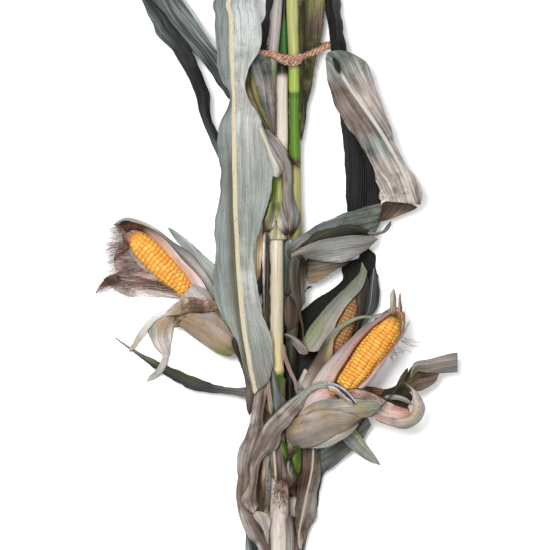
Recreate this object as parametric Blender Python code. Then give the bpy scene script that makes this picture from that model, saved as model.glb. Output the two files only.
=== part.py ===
"""A tied bundle of dry corn stalks with three ears, lying on its back on a flat surface.

The origin is at the centre of the bundle's footprint, on the surface it lies on. +Y runs to the bundle's top
end, +X to its right as it is looked down on, and +Z up. The tables are in millimetres.
"""

import math

import bmesh
import bpy
from mathutils import Vector
from mathutils.bvhtree import BVHTree

MM = 0.001

# Driving dimensions, mm.
BUNDLE_TOP = 478.0
BUNDLE_BOTTOM = -478.0
LEAF_THICKNESS = 1.3
SHEATH_THICKNESS = 1.0
LAY_GAP = 1.5
ROPE_RADIUS = 4.2
KERNEL_RISE = 1.1
COB_TAPER = 4.6
COB_WAIST = 0.36
SHEATH_SPLIT = 168
HUSK_BACK_EDGE = 82
SKY = 500.0

# How finely the surfaces are divided.
CELLS_PER_ROW = 1.4
LOOKS_PER_CELL = 3
STALK_SIDES = 10
ROPE_SIDES = 6
SPREADING_ROUNDS = 6

# Colours, linear red, green and blue.
COLOURS = {
    "stalk": (0.62, 0.52, 0.33),
    "green": (0.30, 0.40, 0.12),
    "sheath": (0.42, 0.40, 0.22),
    "leaf": (0.28, 0.30, 0.27),
    "dark": (0.06, 0.07, 0.06),
    "mauve": (0.36, 0.29, 0.27),
    "husk": (0.52, 0.38, 0.33),
    "kernels": (0.80, 0.42, 0.05),
    "rope": (0.40, 0.21, 0.10),
}

# A stalk is a list of (x, y, z, radius) along its middle, from its top end to its bottom end.
STALKS = {
    "stalk_front": ("stalk", [
        (13, BUNDLE_TOP, 15, 7.2), (13, 385, 16, 7.4), (13, 315, 19, 7.5), (10.5, 285, 27, 7.6),
        (10, 240, 28, 7.7), (10, 180, 30, 7.7), (3, 140, 30, 8.0), (3, 80, 30, 8.2), (2, 58, 29, 9.6),
        (2, 0, 28, 10.2), (1, -80, 28, 10.4), (2, -126, 28, 10.2), (2, -134, 28, 11.4), (2, -142, 28, 10.0),
        (4, -200, 28, 9.8), (5, -280, 28, 9.8), (5.5, -292, 28, 12.4), (6, -304, 28, 12.4),
        (6, -385, 28, 13.0), (6, BUNDLE_BOTTOM, 28, 13.0)]),
    "stalk_green": ("green", [
        (24, BUNDLE_TOP, 31, 8.2), (24, 385, 31, 8.3), (27, 315, 28, 8.4), (27.5, 266, 28, 8.3),
        (28, 258, 28, 9.2), (28, 250, 28, 7.8), (28, 200, 28, 7.6), (29, 100, 27, 7.6), (29, 30, 26, 7.8),
        (26, -40, 23, 8.0), (23, -110, 19, 8.0), (21, -170, 14.5, 8.0), (24, -250, 12, 8.0),
        (28, -330, 12, 8.0), (29, BUNDLE_BOTTOM, 12, 8.0)]),
    "stalk_rear": ("stalk", [
        (4, BUNDLE_TOP, 31, 7.2), (3, 385, 31, 7.4), (-2.5, 315, 28, 7.4), (-5.8, 285, 25, 7.2),
        (-4, 262, 18, 7.0), (0, 240, 12.5, 6.8), (5, 190, 9.5, 6.8), (9, 80, 8.5, 7.0), (8, -40, 8, 7.0),
        (3, -110, 7.8, 7.0), (0, -180, 7.8, 6.8), (2, -290, 7.4, 6.2), (4, BUNDLE_BOTTOM + 24, 7.2, 6.2)]),
    "shank_left": ("sheath", [
        (-13, -112, 26, 5.5), (-36, -92, 27, 5.8), (-62, -72, 30, 6.2), (-70, -64, 31, 6.4)]),
    "shank_right": ("sheath", [
        (20, -236, 31, 5.6), (36, -220, 34, 6.5), (56, -202, 40, 7.2), (70, -186, 44, 8.0)]),
    "shank_rear": ("sheath", [(33, -160, 18, 4.6), (40, -146, 22, 5.2), (46, -134, 25.5, 5.6)]),
}

# An ear is (base, tip, cob radius, rows of kernels, kernels in a row).
EARS = {
    "left": ((-119, -22, 31), (-201, 59, 28), 19.5, 9, 11),
    "right": ((97, -157, 50), (173, -53, 50), 22.0, 9, 12),
    "rear": ((74, -128, 31), (124, -8, 31), 15.0, 7, 8),
}

# Husks and sheaths wound round an ear or a stalk. A row is (distance along, start angle, end angle,
# start radius, end radius). 0 degrees is up, and angles grow towards the left of the way the ear points.
WRAPS = {
    "husk_left_cup": ("left", "husk", [
        (-50, -172, 172, 8, 8), (-38, -172, 172, 16, 16), (-18, -172, 172, 20, 20),
        (3, -172, 172, 15.4, 15.4)]),
    "husk_right_back": ("right", "husk", [
        (-26, -92, -268, 12, 12), (0, -92, -268, 17, 17),
        (40, -92, -268, 22.5, 22.5), (95, -92, -268, 23, 23),
        (122, -92, -268, 16, 16), (134, -96, -262, 8, 8)]),
    "husk_rear_back": ("rear", "husk", [
        (-18, -HUSK_BACK_EDGE, -278, 10, 10), (0, -HUSK_BACK_EDGE, -276, 18.2, 18.2),
        (50, -HUSK_BACK_EDGE, -276, 18.6, 18.6), (100, -HUSK_BACK_EDGE, -276, 16.5, 16.5),
        (130, -98, -262, 6, 6)]),
    "sheath_green": ("stalk", "sheath", [
        (134, -SHEATH_SPLIT, SHEATH_SPLIT, 9.6, 9.6), (100, -SHEATH_SPLIT, SHEATH_SPLIT, 9.8, 9.8),
        (76, -SHEATH_SPLIT, SHEATH_SPLIT, 10.0, 10.0)]),
    "sheath_skirt": ("stalk", "mauve", [
        (74, -110, 104, 12.2, 12.2), (64, -112, 106, 13.6, 13.0), (50, -100, 100, 15.6, 14.4)]),
    "sheath_lower": ("stalk", "mauve", [
        (-236, -96, 112, 11.8, 11.8), (-262, -96, 116, 11.8, 11.8), (-278, -96, 110, 12.2, 12.2)]),
}

# Leaves and loose husks from the rearmost to the foremost, each laid over what is under it. A row across a
# leaf is its left edge, its midrib and its right edge, as (x, y, z); the number is its cells across.
LOWEST_BLADES = [
    ("leaf_black_rear", "dark", 3, [
        ((14, -88, 2), (21, -122, 4), (28, -156, 2)), ((22, -62, 2), (40, -92, 4), (56, -124, 2)),
        ((38, -46, 1), (58, -70, 4), (80, -100, 1)), ((60, -26, 1), (80, -46, 4), (104, -72, 1)),
        ((82, -12, 1), (104, -26, 5), (132, -44, 1)), ((92, 6, 1), (114, -4, 5), (143, -16, 1)),
        ((100, 20, 1), (118, 14, 4), (142, 6, 1)), ((118, 34, 2), (128, 28, 4), (140, 26, 2)),
        ((125, 36, 2), (129, 36, 3), (133, 35, 2))]),
    ("leaf_cut_right", "leaf", 3, [
        ((36, -172, 8), (36, -178, 9), (37, -184, 8)), ((82, -158, 9), (84, -170, 12), (88, -182, 9)),
        ((128, -148, 14), (132, -160, 16), (138, -172, 14)),
        ((160, -148, 28), (168, -158, 31), (178, -168, 27)),
        ((180, -133, 34), (187, -148, 38), (197, -162, 32)),
        ((196, -123, 32), (208, -136, 36), (224, -151, 30)),
        ((217, -119, 26), (226, -127, 30), (234, -137, 26)),
        ((255, -108, 20), (256, -121, 23), (255, -136, 20))]),
    ("leaf_left_lower", "dark", 2, [
        ((-14, -158, 18), (-14, -168, 20), (-14, -178, 18)),
        ((-63, -157, 17), (-66, -163, 19), (-70, -168, 17)),
        ((-95, -150, 15), (-104, -157, 18), (-112, -162, 15)),
        ((-130, -137, 10), (-134, -144, 13), (-137, -151, 10)),
        ((-164, -122, 6), (-167, -127, 9), (-168, -132, 6)),
        ((-203, -102, 3), (-197, -109, 5), (-189, -116, 3)),
        ((-227, -85, 1), (-226, -88, 2), (-223, -90, 1))]),
    ("husk_left_blade", "leaf", 2, [
        ((-72, 6, 18), (-84, -8, 16), (-96, -22, 10)), ((-88, 16, 16), (-96, 8, 17), (-104, -2, 12)),
        ((-103, 31, 12), (-110, 24, 14), (-117, 16, 8)), ((-133, 60, 5), (-135, 55, 6), (-137, 49, 4)),
        ((-149, 68, 3), (-150, 67, 3), (-151, 65, 2))]),
    ("husk_left_top", "husk", 3, [
        ((-78, -34, 14), (-84, -36, 11), (-92, -40, 8)), ((-94, 0, 12), (-103, -6, 14), (-112, -14, 12)),
        ((-119, 30, 10), (-127, 22, 15), (-134, 14, 12)), ((-140, 48, 9), (-147, 40, 15), (-153, 32, 12)),
        ((-170, 70, 12), (-173, 62, 17), (-176, 52, 12)), ((-192, 78, 18), (-192, 71, 22), (-192, 62, 16)),
        ((-210, 80, 22), (-209, 75, 28), (-207, 68, 25)),
        ((-228, 72, 26), (-226, 70, 28), (-222, 68, 27))]),
    ("husk_left_lower", "husk", 4, [
        ((-112, -30, 8), (-118, -34, 8), (-124, -37, 7)),
        ((-135, -19, 10), (-140, -26, 9), (-146, -32, 6)),
        ((-186, 4, 22), (-192, -12, 12), (-198, -29, 3)), ((-208, 9, 18), (-213, -8, 12), (-217, -25, 3)),
        ((-226, 2, 14), (-230, -8, 10), (-234, -15, 4)), ((-240, -7, 8), (-243, -12, 7), (-246, -18, 4)),
        ((-251, -25, 3), (-252, -26, 3), (-254, -28, 2))]),
]

BLADES_UNDER_TIE = [
    ("leaf_dark_top", "dark", 2, [
        ((-10, 450, 24), (-8, 450, 25), (-6, 450, 24)), ((-12, 388, 24), (-8, 388, 26), (-3, 388, 24)),
        ((-13.5, 364, 24), (-10, 364, 26), (-6, 364, 24)), ((-20, 346, 23), (-14, 346, 25), (-8, 346, 24)),
        ((-22, 315, 22), (-17, 315, 24), (-12, 315, 22)),
        ((-24, 262, 20), (-18, 262, 21), (-13, 262, 20))]),
    ("leaf_inner_olive", "sheath", 3, [
        ((-36, 318, 24), (-32, 318, 26), (-29, 318, 24)), ((-41, 296, 28), (-36, 297, 30), (-31, 298, 29)),
        ((-42, 276, 32), (-35, 277, 35), (-29, 279, 34)), ((-40, 252, 34), (-31, 253, 37), (-21, 255, 36)),
        ((-30, 228, 35), (-21, 229, 37), (-11, 230, 36)), ((-6, 192, 34), (-3, 190, 35), (0, 190, 34))]),
    ("leaf_olive_right", "green", 3, [
        ((44, 466, 16), (52, 468, 18), (60, 466, 16)), ((37.5, 425, 22), (54, 428, 28), (70, 425, 22)),
        ((37.5, 385, 24), (48, 385, 30), (70, 385, 25)), ((37.5, 338, 23), (45, 338, 28), (66, 338, 24)),
        ((37.5, 304, 23), (44, 304, 27), (58, 304, 24)), ((37.5, 245, 23), (39, 245, 26), (47, 245, 24)),
        ((37.5, 190, 23), (36.5, 188, 24), (38.6, 190, 23))]),
]

# The rope's middle line: across the front from left to right, then back behind the stalks.
ROPE_ROUTE = [
    (-50, 318, 20), (-42, 315, 36), (-22, 311, 42.5), (-7, 309, 43), (4, 306, 42.5), (15, 304, 41.5),
    (25, 303, 42), (36, 305, 41), (46, 308, 38), (57, 313, 37), (68, 318, 35), (77, 323, 30), (82, 325, 20),
    (76, 324, 10), (62, 322, 5.2), (30, 320, 5), (0, 320, 5), (-28, 320, 5), (-43, 320, 9)]

BLADES = [
    ("leaf_dark_right", "dark", 3, [
        ((84, 462, 3), (87, 464, 4), (90, 462, 3)), ((70, 388, 20), (80, 388, 26), (91, 388, 20)),
        ((75, 350, 32), (86, 350, 37), (95, 350, 32)), ((78, 318, 36), (88, 316, 40), (99.5, 317, 36)),
        ((84, 260, 26), (98, 260, 32), (112, 260, 26)), ((92, 218, 8), (108, 218, 14), (128, 218, 8)),
        ((97.5, 175, 2), (115, 175, 8), (138, 172, 2)), ((99, 130, 2), (116, 130, 7), (147, 126, 2)),
        ((101, 96, 2), (114, 94, 6), (149, 96, 2)), ((104, 80, 2), (115, 78, 5), (142, 82, 2))]),
    ("husk_rear_right", "husk", 2, [
        ((116, -76, 15), (120, -76, 17), (125, -74, 14)), ((122, -46, 13), (132, -44, 17), (142, -44, 11)),
        ((130, -16, 13), (136, -12, 17), (143, -12, 11)), ((136, 6, 13), (138, 8, 14), (140, 6, 12))]),
    ("husk_rear_front", "husk", 3, [
        ((37, -99, 34), (46, -106, 38), (58, -112, 40)), ((44, -82, 28), (58, -90, 40), (72, -92, 44)),
        ((55, -65, 26), (68, -72, 42), (83, -78, 47)), ((68, -49, 24), (80, -55, 42), (90, -58, 47)),
        ((86, -30, 24), (95, -37, 40), (102, -39, 45)), ((108, -9, 27), (114, -15, 38), (120, -20, 41)),
        ((119, 5, 24), (123, 3, 30), (128.5, 1, 34)), ((120, 20, 24), (122, 18, 26), (128, 8, 28))]),
    ("husk_left_net", "husk", 3, [
        ((-128, -42, 18), (-130, -50, 22), (-132, -58, 16)),
        ((-158, -54, 12), (-150, -58, 16), (-142, -62, 12)),
        ((-174, -66, 8), (-160, -70, 13), (-144, -72, 8)),
        ((-176, -82, 5), (-162, -86, 10), (-146, -88, 5)),
        ((-158, -114, 2), (-154, -115, 4), (-149, -116, 2)),
        ((-164, -130, 2), (-161, -132, 3), (-156, -134, 2)),
        ((-174, -141, 1), (-171, -144, 3), (-167, -146, 1)),
        ((-182, -148, 1), (-181, -150, 2), (-178, -151, 1))]),
    ("husk_left_strip", "husk", 2, [
        ((-140, -46, 16), (-142, -50, 18), (-144, -54, 16)),
        ((-168, -57, 13), (-168, -61, 15), (-167, -65, 13)),
        ((-182, -66, 12), (-179, -69, 13), (-175, -72, 12)),
        ((-193, -82, 11), (-190, -84, 12), (-186, -86, 11)),
        ((-201, -97, 8), (-198, -99, 9), (-194, -100, 8)),
        ((-208, -106, 8), (-206, -108, 8), (-203, -110, 8))]),
    ("husk_left_bulb", "husk", 4, [
        ((-54, -98, 32), (-55, -107, 36), (-58, -115, 28)),
        ((-64, -76, 38), (-73, -92, 46), (-82, -109, 26)),
        ((-80, -54, 42), (-93, -74, 50), (-106, -92, 20)),
        ((-98, -49, 44), (-111, -66, 48), (-123, -80, 16)),
        ((-116, -50, 42), (-125, -60, 42), (-134, -72, 16)),
        ((-124, -54, 38), (-130, -62, 38), (-136, -71, 18))]),
    ("leaf_tan_strip", "husk", 2, [
        ((-22, 70, 22), (-19, 71, 24), (-16, 72, 22)), ((-29, 50, 22), (-23, 50, 25), (-17, 50, 22)),
        ((-31, 26, 22), (-24, 26, 25), (-17, 26, 22)), ((-26, -6, 19), (-24, -7, 20), (-22, -8, 19))]),
    ("leaf_lilac_strip", "mauve", 2, [
        ((-16, 60, 22), (-13, 60, 24), (-10, 60, 22)), ((-16.5, 20, 22), (-14.5, 20, 23), (-12.5, 20, 22)),
        ((-16, -50, 20), (-13.5, -50, 21), (-11, -50, 20)),
        ((-12, -74, 20), (-10.5, -75, 20), (-9, -74, 20))]),
    ("leaf_right_dark", "dark", 3, [
        ((118, -198, 15), (124, -203, 16), (132, -208, 15)),
        ((86, -210, 15), (102, -224, 19), (118, -236, 14)),
        ((56, -226, 15), (76, -246, 20), (93, -260, 13)), ((40, -250, 14), (52, -268, 18), (69, -281, 10)),
        ((39, -290, 10), (48, -305, 14), (61, -315, 5)), ((40, -330, 8), (47, -338, 10), (57, -342, 3)),
        ((40, -360, 5), (43, -364, 6), (47, -362, 3)), ((36, -392, 3), (38, -394, 4), (41, -392, 3))]),
    ("leaf_right_tip", "leaf", 2, [
        ((66, -210, 8), (62, -218, 10), (58, -226, 8)), ((106, -214, 9), (98, -222, 11), (88, -230, 9)),
        ((127, -241, 5), (120, -245, 7), (110, -249, 5)),
        ((147, -268, 1), (146, -269, 1), (143, -270, 1))]),
    ("leaf_right_mauve", "mauve", 3, [
        ((31, -236, 26), (54, -236, 32), (64, -236, 26)), ((31, -262, 24), (53, -262, 30), (63, -262, 21)),
        ((31, -283, 23), (50, -283, 29), (65, -283, 18)),
        ((31, -310, 22), (43.5, -310, 27), (59, -310, 14)),
        ((29, -338, 21), (38, -338, 25), (58, -338, 12)), ((31, -366, 18), (33, -366, 21), (43, -366, 14)),
        ((33, -384, 18), (35, -384, 20), (38, -384, 17))]),
    ("leaf_base_left", "mauve", 3, [
        ((-26, -152, 38), (-18, -148, 40), (-9, -144, 38)),
        ((-29, -172, 36), (-21, -172, 41), (-13, -172, 37)),
        ((-34, -195, 34), (-25, -195, 41), (-16, -195, 37)),
        ((-43, -229, 30), (-31, -229, 38), (-17, -229, 38)),
        ((-53, -257, 26), (-40, -257, 37), (-25, -257, 38)),
        ((-52, -286, 22), (-41, -286, 34), (-28, -286, 37)),
        ((-54, -306, 20), (-43, -306, 32), (-30, -306, 36)),
        ((-53, -322, 18), (-42, -322, 30), (-27, -320, 36)),
        ((-50, -339, 16), (-37, -336, 28), (-20, -332, 34)),
        ((-36, -370, 12), (-26, -366, 22), (-12, -360, 28)),
        ((-24, -384, 10), (-18, -382, 16), (-8, -378, 22)),
        ((-16, -410, 8), (-12, -411, 12), (-8, -410, 14)),
        ((-16, -430, 6), (-14, -431, 8), (-10, -430, 10))]),
    ("leaf_base_fold", "mauve", 2, [
        ((-35, -331, 38), (-25, -330, 41), (-12, -330, 40)),
        ((-28, -341, 37), (-18, -340, 41), (-5.5, -341, 40)),
        ((-15, -363, 32), (-11, -363, 35), (-8, -363, 34)),
        ((-10.5, -376, 28), (-9.5, -376.5, 29), (-8.5, -376, 28))]),
    ("leaf_dark_cane", "dark", 2, [
        ((13, 48, 34), (20, 50, 38), (28, 50, 36)), ((13, 20, 33), (20, 20, 37), (27, 20, 35)),
        ((12.5, -8, 32), (19, -8, 35), (26, -8, 33)), ((13, -28, 30), (17, -28, 32), (23, -28, 30))]),
    ("leaf_brown", "mauve", 2, [
        ((14, -30, 34), (20, -28, 36), (25, -31, 34)), ((13, -46, 34), (22, -46, 39), (33, -48, 34)),
        ((13, -64, 34), (22, -64, 38), (32.5, -65, 33)), ((14, -77, 33), (20, -77, 35), (26, -75, 32))]),
    ("leaf_curled", "mauve", 2, [
        ((13, -80, 36), (13, -83, 38), (13, -86, 36)), ((24, -84, 38), (22, -88, 41), (20, -92, 38)),
        ((45, -101, 38), (41, -105, 42), (35, -111, 38)),
        ((50, -106, 37), (46, -110, 40), (41, -117, 38))]),
    ("leaf_shell_inner", "mauve", 2, [
        ((38, 22, 30), (40, 6, 32), (42, -14, 30)), ((52, 22, 30), (54, 8, 34), (58, -9, 30)),
        ((92, 22, 32), (92, 16, 34), (92, 10, 31)), ((104, 20, 31), (104, 18, 31), (103, 15, 31))]),
    ("leaf_cross", "leaf", 3, [
        ((14, 34, 40), (18, 26, 42), (24, 14, 38)), ((24, 48, 40), (30, 36, 44), (38, 22, 40)),
        ((38, 58, 40), (44, 48, 44), (52, 34, 40)), ((61, 71, 38), (66, 58, 44), (72, 44, 38)),
        ((92, 85, 34), (96, 68, 42), (100, 50, 34)), ((121, 94, 28), (124, 76, 36), (127, 52, 28)),
        ((147, 100, 22), (145, 80, 28), (140, 58, 22)), ((155, 92, 18), (152, 82, 20), (146, 68, 18))]),
    ("leaf_grey_shell", "leaf", 4, [
        ((19, 26, 46), (24, 24, 50), (34, 20, 42)), ((34, 36, 44), (38, 32, 52), (46, 22, 42)),
        ((53, 45, 42), (57, 38, 54), (66, 19, 40)), ((79, 52, 40), (82, 42, 54), (86, 18, 38)),
        ((108, 55, 40), (106, 46, 50), (102, 20, 38)), ((132, 55, 38), (129, 48, 44), (124, 33, 36)),
        ((146, 52, 34), (144, 50, 36), (140, 44, 34))]),
    ("leaf_twist", "leaf", 3, [
        ((22.5, 29, 51), (29, 28, 54), (36, 26, 50)), ((19, 8, 46), (25, 8, 50), (31, 6, 46)),
        ((20, -14, 44), (26, -14, 48), (33, -14, 44)), ((26, -34, 40), (30, -34, 43), (36, -34, 40)),
        ((33, -52, 38), (34.5, -52, 40), (36, -52, 38)), ((38, -74, 37), (39, -74, 38), (40, -74, 37)),
        ((38.5, -96, 38), (39.5, -97, 39), (40.5, -96, 38))]),
    ("leaf_left_upper", "leaf", 4, [
        ((-30, 214, 28), (-25, 206, 31), (-20, 198, 28)), ((-66, 248, 42), (-60, 254, 44), (-52, 260, 42)),
        ((-98, 293, 42), (-88, 298, 48), (-72, 302, 44)),
        ((-119, 316, 34), (-102, 318, 42), (-84, 320, 40)),
        ((-140, 334, 24), (-121, 340, 36), (-101, 346, 34)),
        ((-163, 360, 14), (-141, 366, 28), (-118, 372, 26)),
        ((-181, 386, 8), (-155, 390, 22), (-130, 392, 20)),
        ((-206, 426, 2), (-184, 434, 10), (-158, 440, 8)),
        ((-226, 468, 1), (-222, 471, 2), (-217, 473, 1))]),
    ("leaf_left_dark", "dark", 3, [
        ((-22, 120, 24), (-20, 126, 26), (-17, 132, 25)), ((-62, 136, 40), (-58, 146, 42), (-54, 156, 40)),
        ((-104, 221, 34), (-98, 222, 38), (-90, 222, 34)),
        ((-110, 250, 32), (-102, 251, 38), (-91, 250, 34)),
        ((-118, 270, 30), (-109, 272, 36), (-99, 272, 32)),
        ((-131, 292, 26), (-121, 296, 33), (-109, 298, 30)),
        ((-144, 316, 22), (-132, 318, 30), (-120, 320, 28)),
        ((-165, 336, 16), (-154, 342, 24), (-140, 347, 22)),
        ((-172, 354, 12), (-164, 360, 20), (-154, 366, 16)),
        ((-187, 385, 5), (-182, 387, 9), (-175, 388, 6)),
        ((-200, 430, 1), (-198, 431, 2), (-195, 431, 1))]),
    ("leaf_inner_grey", "mauve", 3, [
        ((-34, 306, 46), (-22, 308, 48), (-8, 308, 47)), ((-33, 290, 47), (-20, 290, 49), (-6, 290, 47)),
        ((-27, 266, 46), (-13, 266, 48), (-2, 266, 45)), ((-11, 218, 42), (-5, 218, 43), (0, 218, 42)),
        ((-3, 192, 40), (-1.5, 191, 40), (0, 190, 40))]),
    ("leaf_grey_wrap", "mauve", 3, [
        ((-18, 203, 46), (-16, 204, 47), (-14, 206, 46)), ((-2, 168, 46), (7, 174, 49), (13, 179, 46)),
        ((5, 152, 45), (14, 158, 48), (22, 161, 44)), ((11, 138, 43), (17, 139, 46), (24, 140, 42)),
        ((11, 118, 42), (18, 118, 46), (24, 118, 41)), ((11, 98, 42), (20, 98, 46), (29, 98, 40)),
        ((11, 84, 42), (22, 83, 46), (35.5, 82, 39)), ((11, 68, 41), (21, 67, 45), (31, 66, 39)),
        ((14, 55, 41), (19, 54, 44), (25, 53, 40))]),
    ("leaf_green_mid", "green", 2, [
        ((-4, -140, 41), (5, -140, 43), (14, -140, 40)), ((-10, -165, 40), (2, -165, 42), (14, -165, 40)),
        ((-12, -196, 40), (-4, -198, 42), (6, -194, 40))]),
    ("husk_right_outer", "husk", 3, [
        ((34, -158, 44), (44, -162, 48), (56, -166, 48)), ((44, -126, 42), (54, -128, 50), (66, -132, 52)),
        ((62, -98, 44), (72, -102, 52), (82, -108, 54)), ((84, -74, 46), (88, -78, 52), (93, -83, 53)),
        ((104, -61, 46), (106, -66, 52), (109, -71, 52)), ((124, -54, 46), (125, -58, 52), (126, -63, 52)),
        ((150, -50, 48), (151, -52, 50), (152, -55, 50))]),
    ("husk_right_inner", "husk", 4, [
        ((40, -170, 50), (60, -172, 58), (82, -168, 60)), ((66, -134, 52), (80, -138, 64), (92, -143, 64)),
        ((88, -108, 52), (97, -112, 66), (106, -117, 65)), ((126, -72, 52), (130, -74, 64), (135, -77, 64)),
        ((146, -59, 54), (149, -60, 62), (152, -62, 62)),
        ((164, -50, 56), (166, -51, 58), (168, -52, 58))]),
    ("husk_right_tip", "husk", 2, [
        ((149, -66, 66), (166, -70, 75), (182, -73, 62)), ((153, -59, 62), (168, -60, 72), (182, -62, 60)),
        ((160, -51, 56), (169, -51, 66), (179, -52, 56))]),
    ("husk_right_loop", "husk", 2, [
        ((140, -162, 62), (143, -170, 64), (146, -177, 60)),
        ((164, -150, 58), (165, -158, 60), (165, -166, 56)),
        ((184, -144, 54), (183, -152, 56), (181, -161, 52)),
        ((203, -156, 50), (198, -163, 52), (192, -168, 48)),
        ((210, -184, 48), (203, -183, 50), (195, -182, 46)),
        ((200, -204, 46), (194, -198, 49), (187, -190, 44)),
        ((174, -212, 44), (172, -204, 48), (169, -194, 44)),
        ((146, -208, 46), (146, -200, 49), (146, -192, 46)),
        ((126, -200, 50), (127, -194, 52), (129, -188, 50))]),
    ("husk_right_bulb", "husk", 4, [
        ((10, -213, 52), (13, -224, 54), (17, -237, 48)), ((34, -188, 56), (36, -212, 64), (37, -241, 44)),
        ((58, -173, 60), (62, -202, 68), (65, -232, 42)), ((86, -168, 64), (91, -192, 70), (95, -218, 44)),
        ((120, -168, 66), (122, -186, 68), (122, -204, 46)),
        ((150, -177, 66), (147, -184, 66), (141, -193, 54))]),
    ("leaf_wrap", "mauve", 3, [
        ((115, -178, 72), (113, -180, 73), (111, -181, 72)),
        ((99, -157, 74), (95, -160, 76), (90, -163, 75)), ((72, -149, 70), (67, -154, 74), (61, -160, 72)),
        ((48, -152, 64), (46, -160, 69), (46, -170, 66)), ((30, -167, 58), (33, -176, 64), (38, -184, 62)),
        ((14, -179, 54), (22, -188, 62), (31, -193, 58)), ((-1, -193, 50), (8, -202, 58), (20, -209, 54)),
        ((-13, -205, 48), (-3, -213, 56), (9, -219, 52)), ((-22, -219, 46), (-9, -225, 54), (7, -232, 50)),
        ((-29, -237, 44), (-16, -241, 51), (2, -244, 48)),
        ((-33, -254, 42), (-24, -254, 48), (-13, -252, 46)),
        ((-35.5, -270, 40), (-29, -270, 46), (-22, -266, 44)),
        ((-34, -286, 39), (-30, -286, 44), (-25, -285, 42)),
        ((-41, -302, 38), (-34, -302, 42), (-27, -302, 40)),
        ((-48, -313, 37), (-37, -314, 41), (-26.5, -314, 40)),
        ((-35, -333, 38), (-30, -333, 40), (-25, -332, 39))]),
    ("leaf_hanging", "mauve", 4, [
        ((69, 306, 42), (73, 310, 44), (78, 315.5, 42)), ((71, 290, 47), (87, 296, 50), (104, 313, 44)),
        ((74, 270, 49), (97, 278, 51), (126, 299, 44)), ((88, 229, 48), (121, 243, 51), (143, 257, 43)),
        ((117, 186, 45), (153, 199, 54), (163, 205, 46)), ((130, 164, 43), (164, 179, 54), (169, 180, 47)),
        ((139, 143, 40), (174, 159, 54), (182, 154, 46)), ((144, 124, 37), (184, 136, 52), (198, 138, 44)),
        ((147, 111, 34), (191, 115, 48), (206.5, 117, 42)),
        ((148, 105, 33), (197, 100, 44), (204, 100, 41))]),
    ("leaf_front_long", "leaf", 4, [
        ((-6, 474, 44), (2, 476, 45), (10, 474, 44)), ((-58, 436, 60), (-34, 442, 56), (-4, 440, 58)),
        ((-84, 385, 70), (-64, 385, 62), (-28.5, 385, 68)),
        ((-84, 362, 71), (-62, 362, 63), (-21, 362, 69)), ((-84, 343, 72), (-61, 343, 64), (-18, 343, 70)),
        ((-81, 318, 72), (-61, 318, 64), (-20.5, 314, 68)),
        ((-80, 290, 72), (-60, 290, 64), (-35, 291, 66)),
        ((-75, 271, 72), (-59.5, 272, 65), (-41, 272, 65)),
        ((-63, 254, 72), (-59, 254, 66), (-42, 255, 64)),
        ((-64, 238, 72), (-58.5, 238, 65), (-34, 240, 63)),
        ((-75, 215, 68), (-58, 217, 64), (-20, 219, 62)),
        ((-79.5, 190, 64), (-57.5, 192, 61), (-16, 200, 61)),
        ((-78, 165, 62), (-57, 168, 60), (-5, 169, 63)), ((-76, 146, 60), (-57, 148, 59), (1, 151, 64)),
        ((-76, 130, 60), (-56.5, 132, 58), (-4, 134, 64)), ((-77, 108, 59), (-56, 108, 57), (-7, 107, 64)),
        ((-82, 86, 58), (-55.5, 88, 56), (-13, 88, 64)), ((-85, 62, 57), (-54, 62, 55), (-20, 63, 63)),
        ((-83, 46, 57), (-53, 46, 55), (-28, 44, 62)), ((-86.5, 3, 55), (-50.5, 3, 53), (-28, 6, 61)),
        ((-85, -23, 54), (-48.5, -23, 52), (-23, -28, 60)),
        ((-79, -45, 52), (-46.5, -48, 50), (-18, -50, 57)),
        ((-64, -72, 50), (-44, -72, 49), (-11, -72, 55)), ((-54, -92, 48), (-41.5, -92, 48), (-4, -90, 53)),
        ((-47, -115, 48), (-38, -112, 48), (-2, -108, 52)),
        ((-42, -135, 48), (-35, -132, 48), (-3, -130, 50)),
        ((-35, -151, 47), (-31.5, -149, 48), (-9, -147, 49)),
        ((-30, -167, 45), (-28.5, -166, 46), (-24, -163, 46))]),
    ("leaf_collar", "leaf", 3, [
        ((-4, 134, 46), (4, 137, 48), (13, 141, 47)), ((-3, 143, 47), (4, 148, 49), (11, 152, 47)),
        ((-16, 184, 49), (-13, 186, 51), (-9, 188, 49)), ((-24, 204, 50), (-21, 206, 51), (-17, 208, 50))]),
]


def curve_point(points, place):
    """The point at a place, from 0 to the last point's number, on the smooth curve through the points."""
    last = len(points) - 1
    index = min(int(place), last - 1)
    part = place - index
    before = Vector(points[max(index - 1, 0)])
    start = Vector(points[index])
    end = Vector(points[index + 1])
    after = Vector(points[min(index + 2, last)])
    bend = (2 * before - 5 * start + 4 * end - after) * part ** 2
    swing = (3 * start - before - 3 * end + after) * part ** 3
    return 0.5 * (2 * start + (end - before) * part + bend + swing)


def material(name):
    """The plain material of one kind of piece, made once."""
    if name in bpy.data.materials:
        return bpy.data.materials[name]
    made = bpy.data.materials.new(name)
    made.use_nodes = True
    shader = made.node_tree.nodes["Principled BSDF"]
    shader.inputs["Base Color"].default_value = (*COLOURS[name], 1)
    shader.inputs["Roughness"].default_value = 0.7
    shader.inputs["Metallic"].default_value = 0.0
    return made


class Pile:
    """The pieces laid down so far, which the next leaf is laid over."""

    def __init__(self):
        self.trees = []

    def add(self, bm):
        self.trees.append(BVHTree.FromBMesh(bm))

    def top(self, point):
        """The height of the highest piece under the sky at a point, or 0 on the surface."""
        height = 0.0
        for tree in self.trees:
            hit = tree.ray_cast(Vector((point.x, point.y, SKY)), Vector((0, 0, -1)))[0]
            if hit is not None:
                height = max(height, hit.z)
        return height


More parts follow.
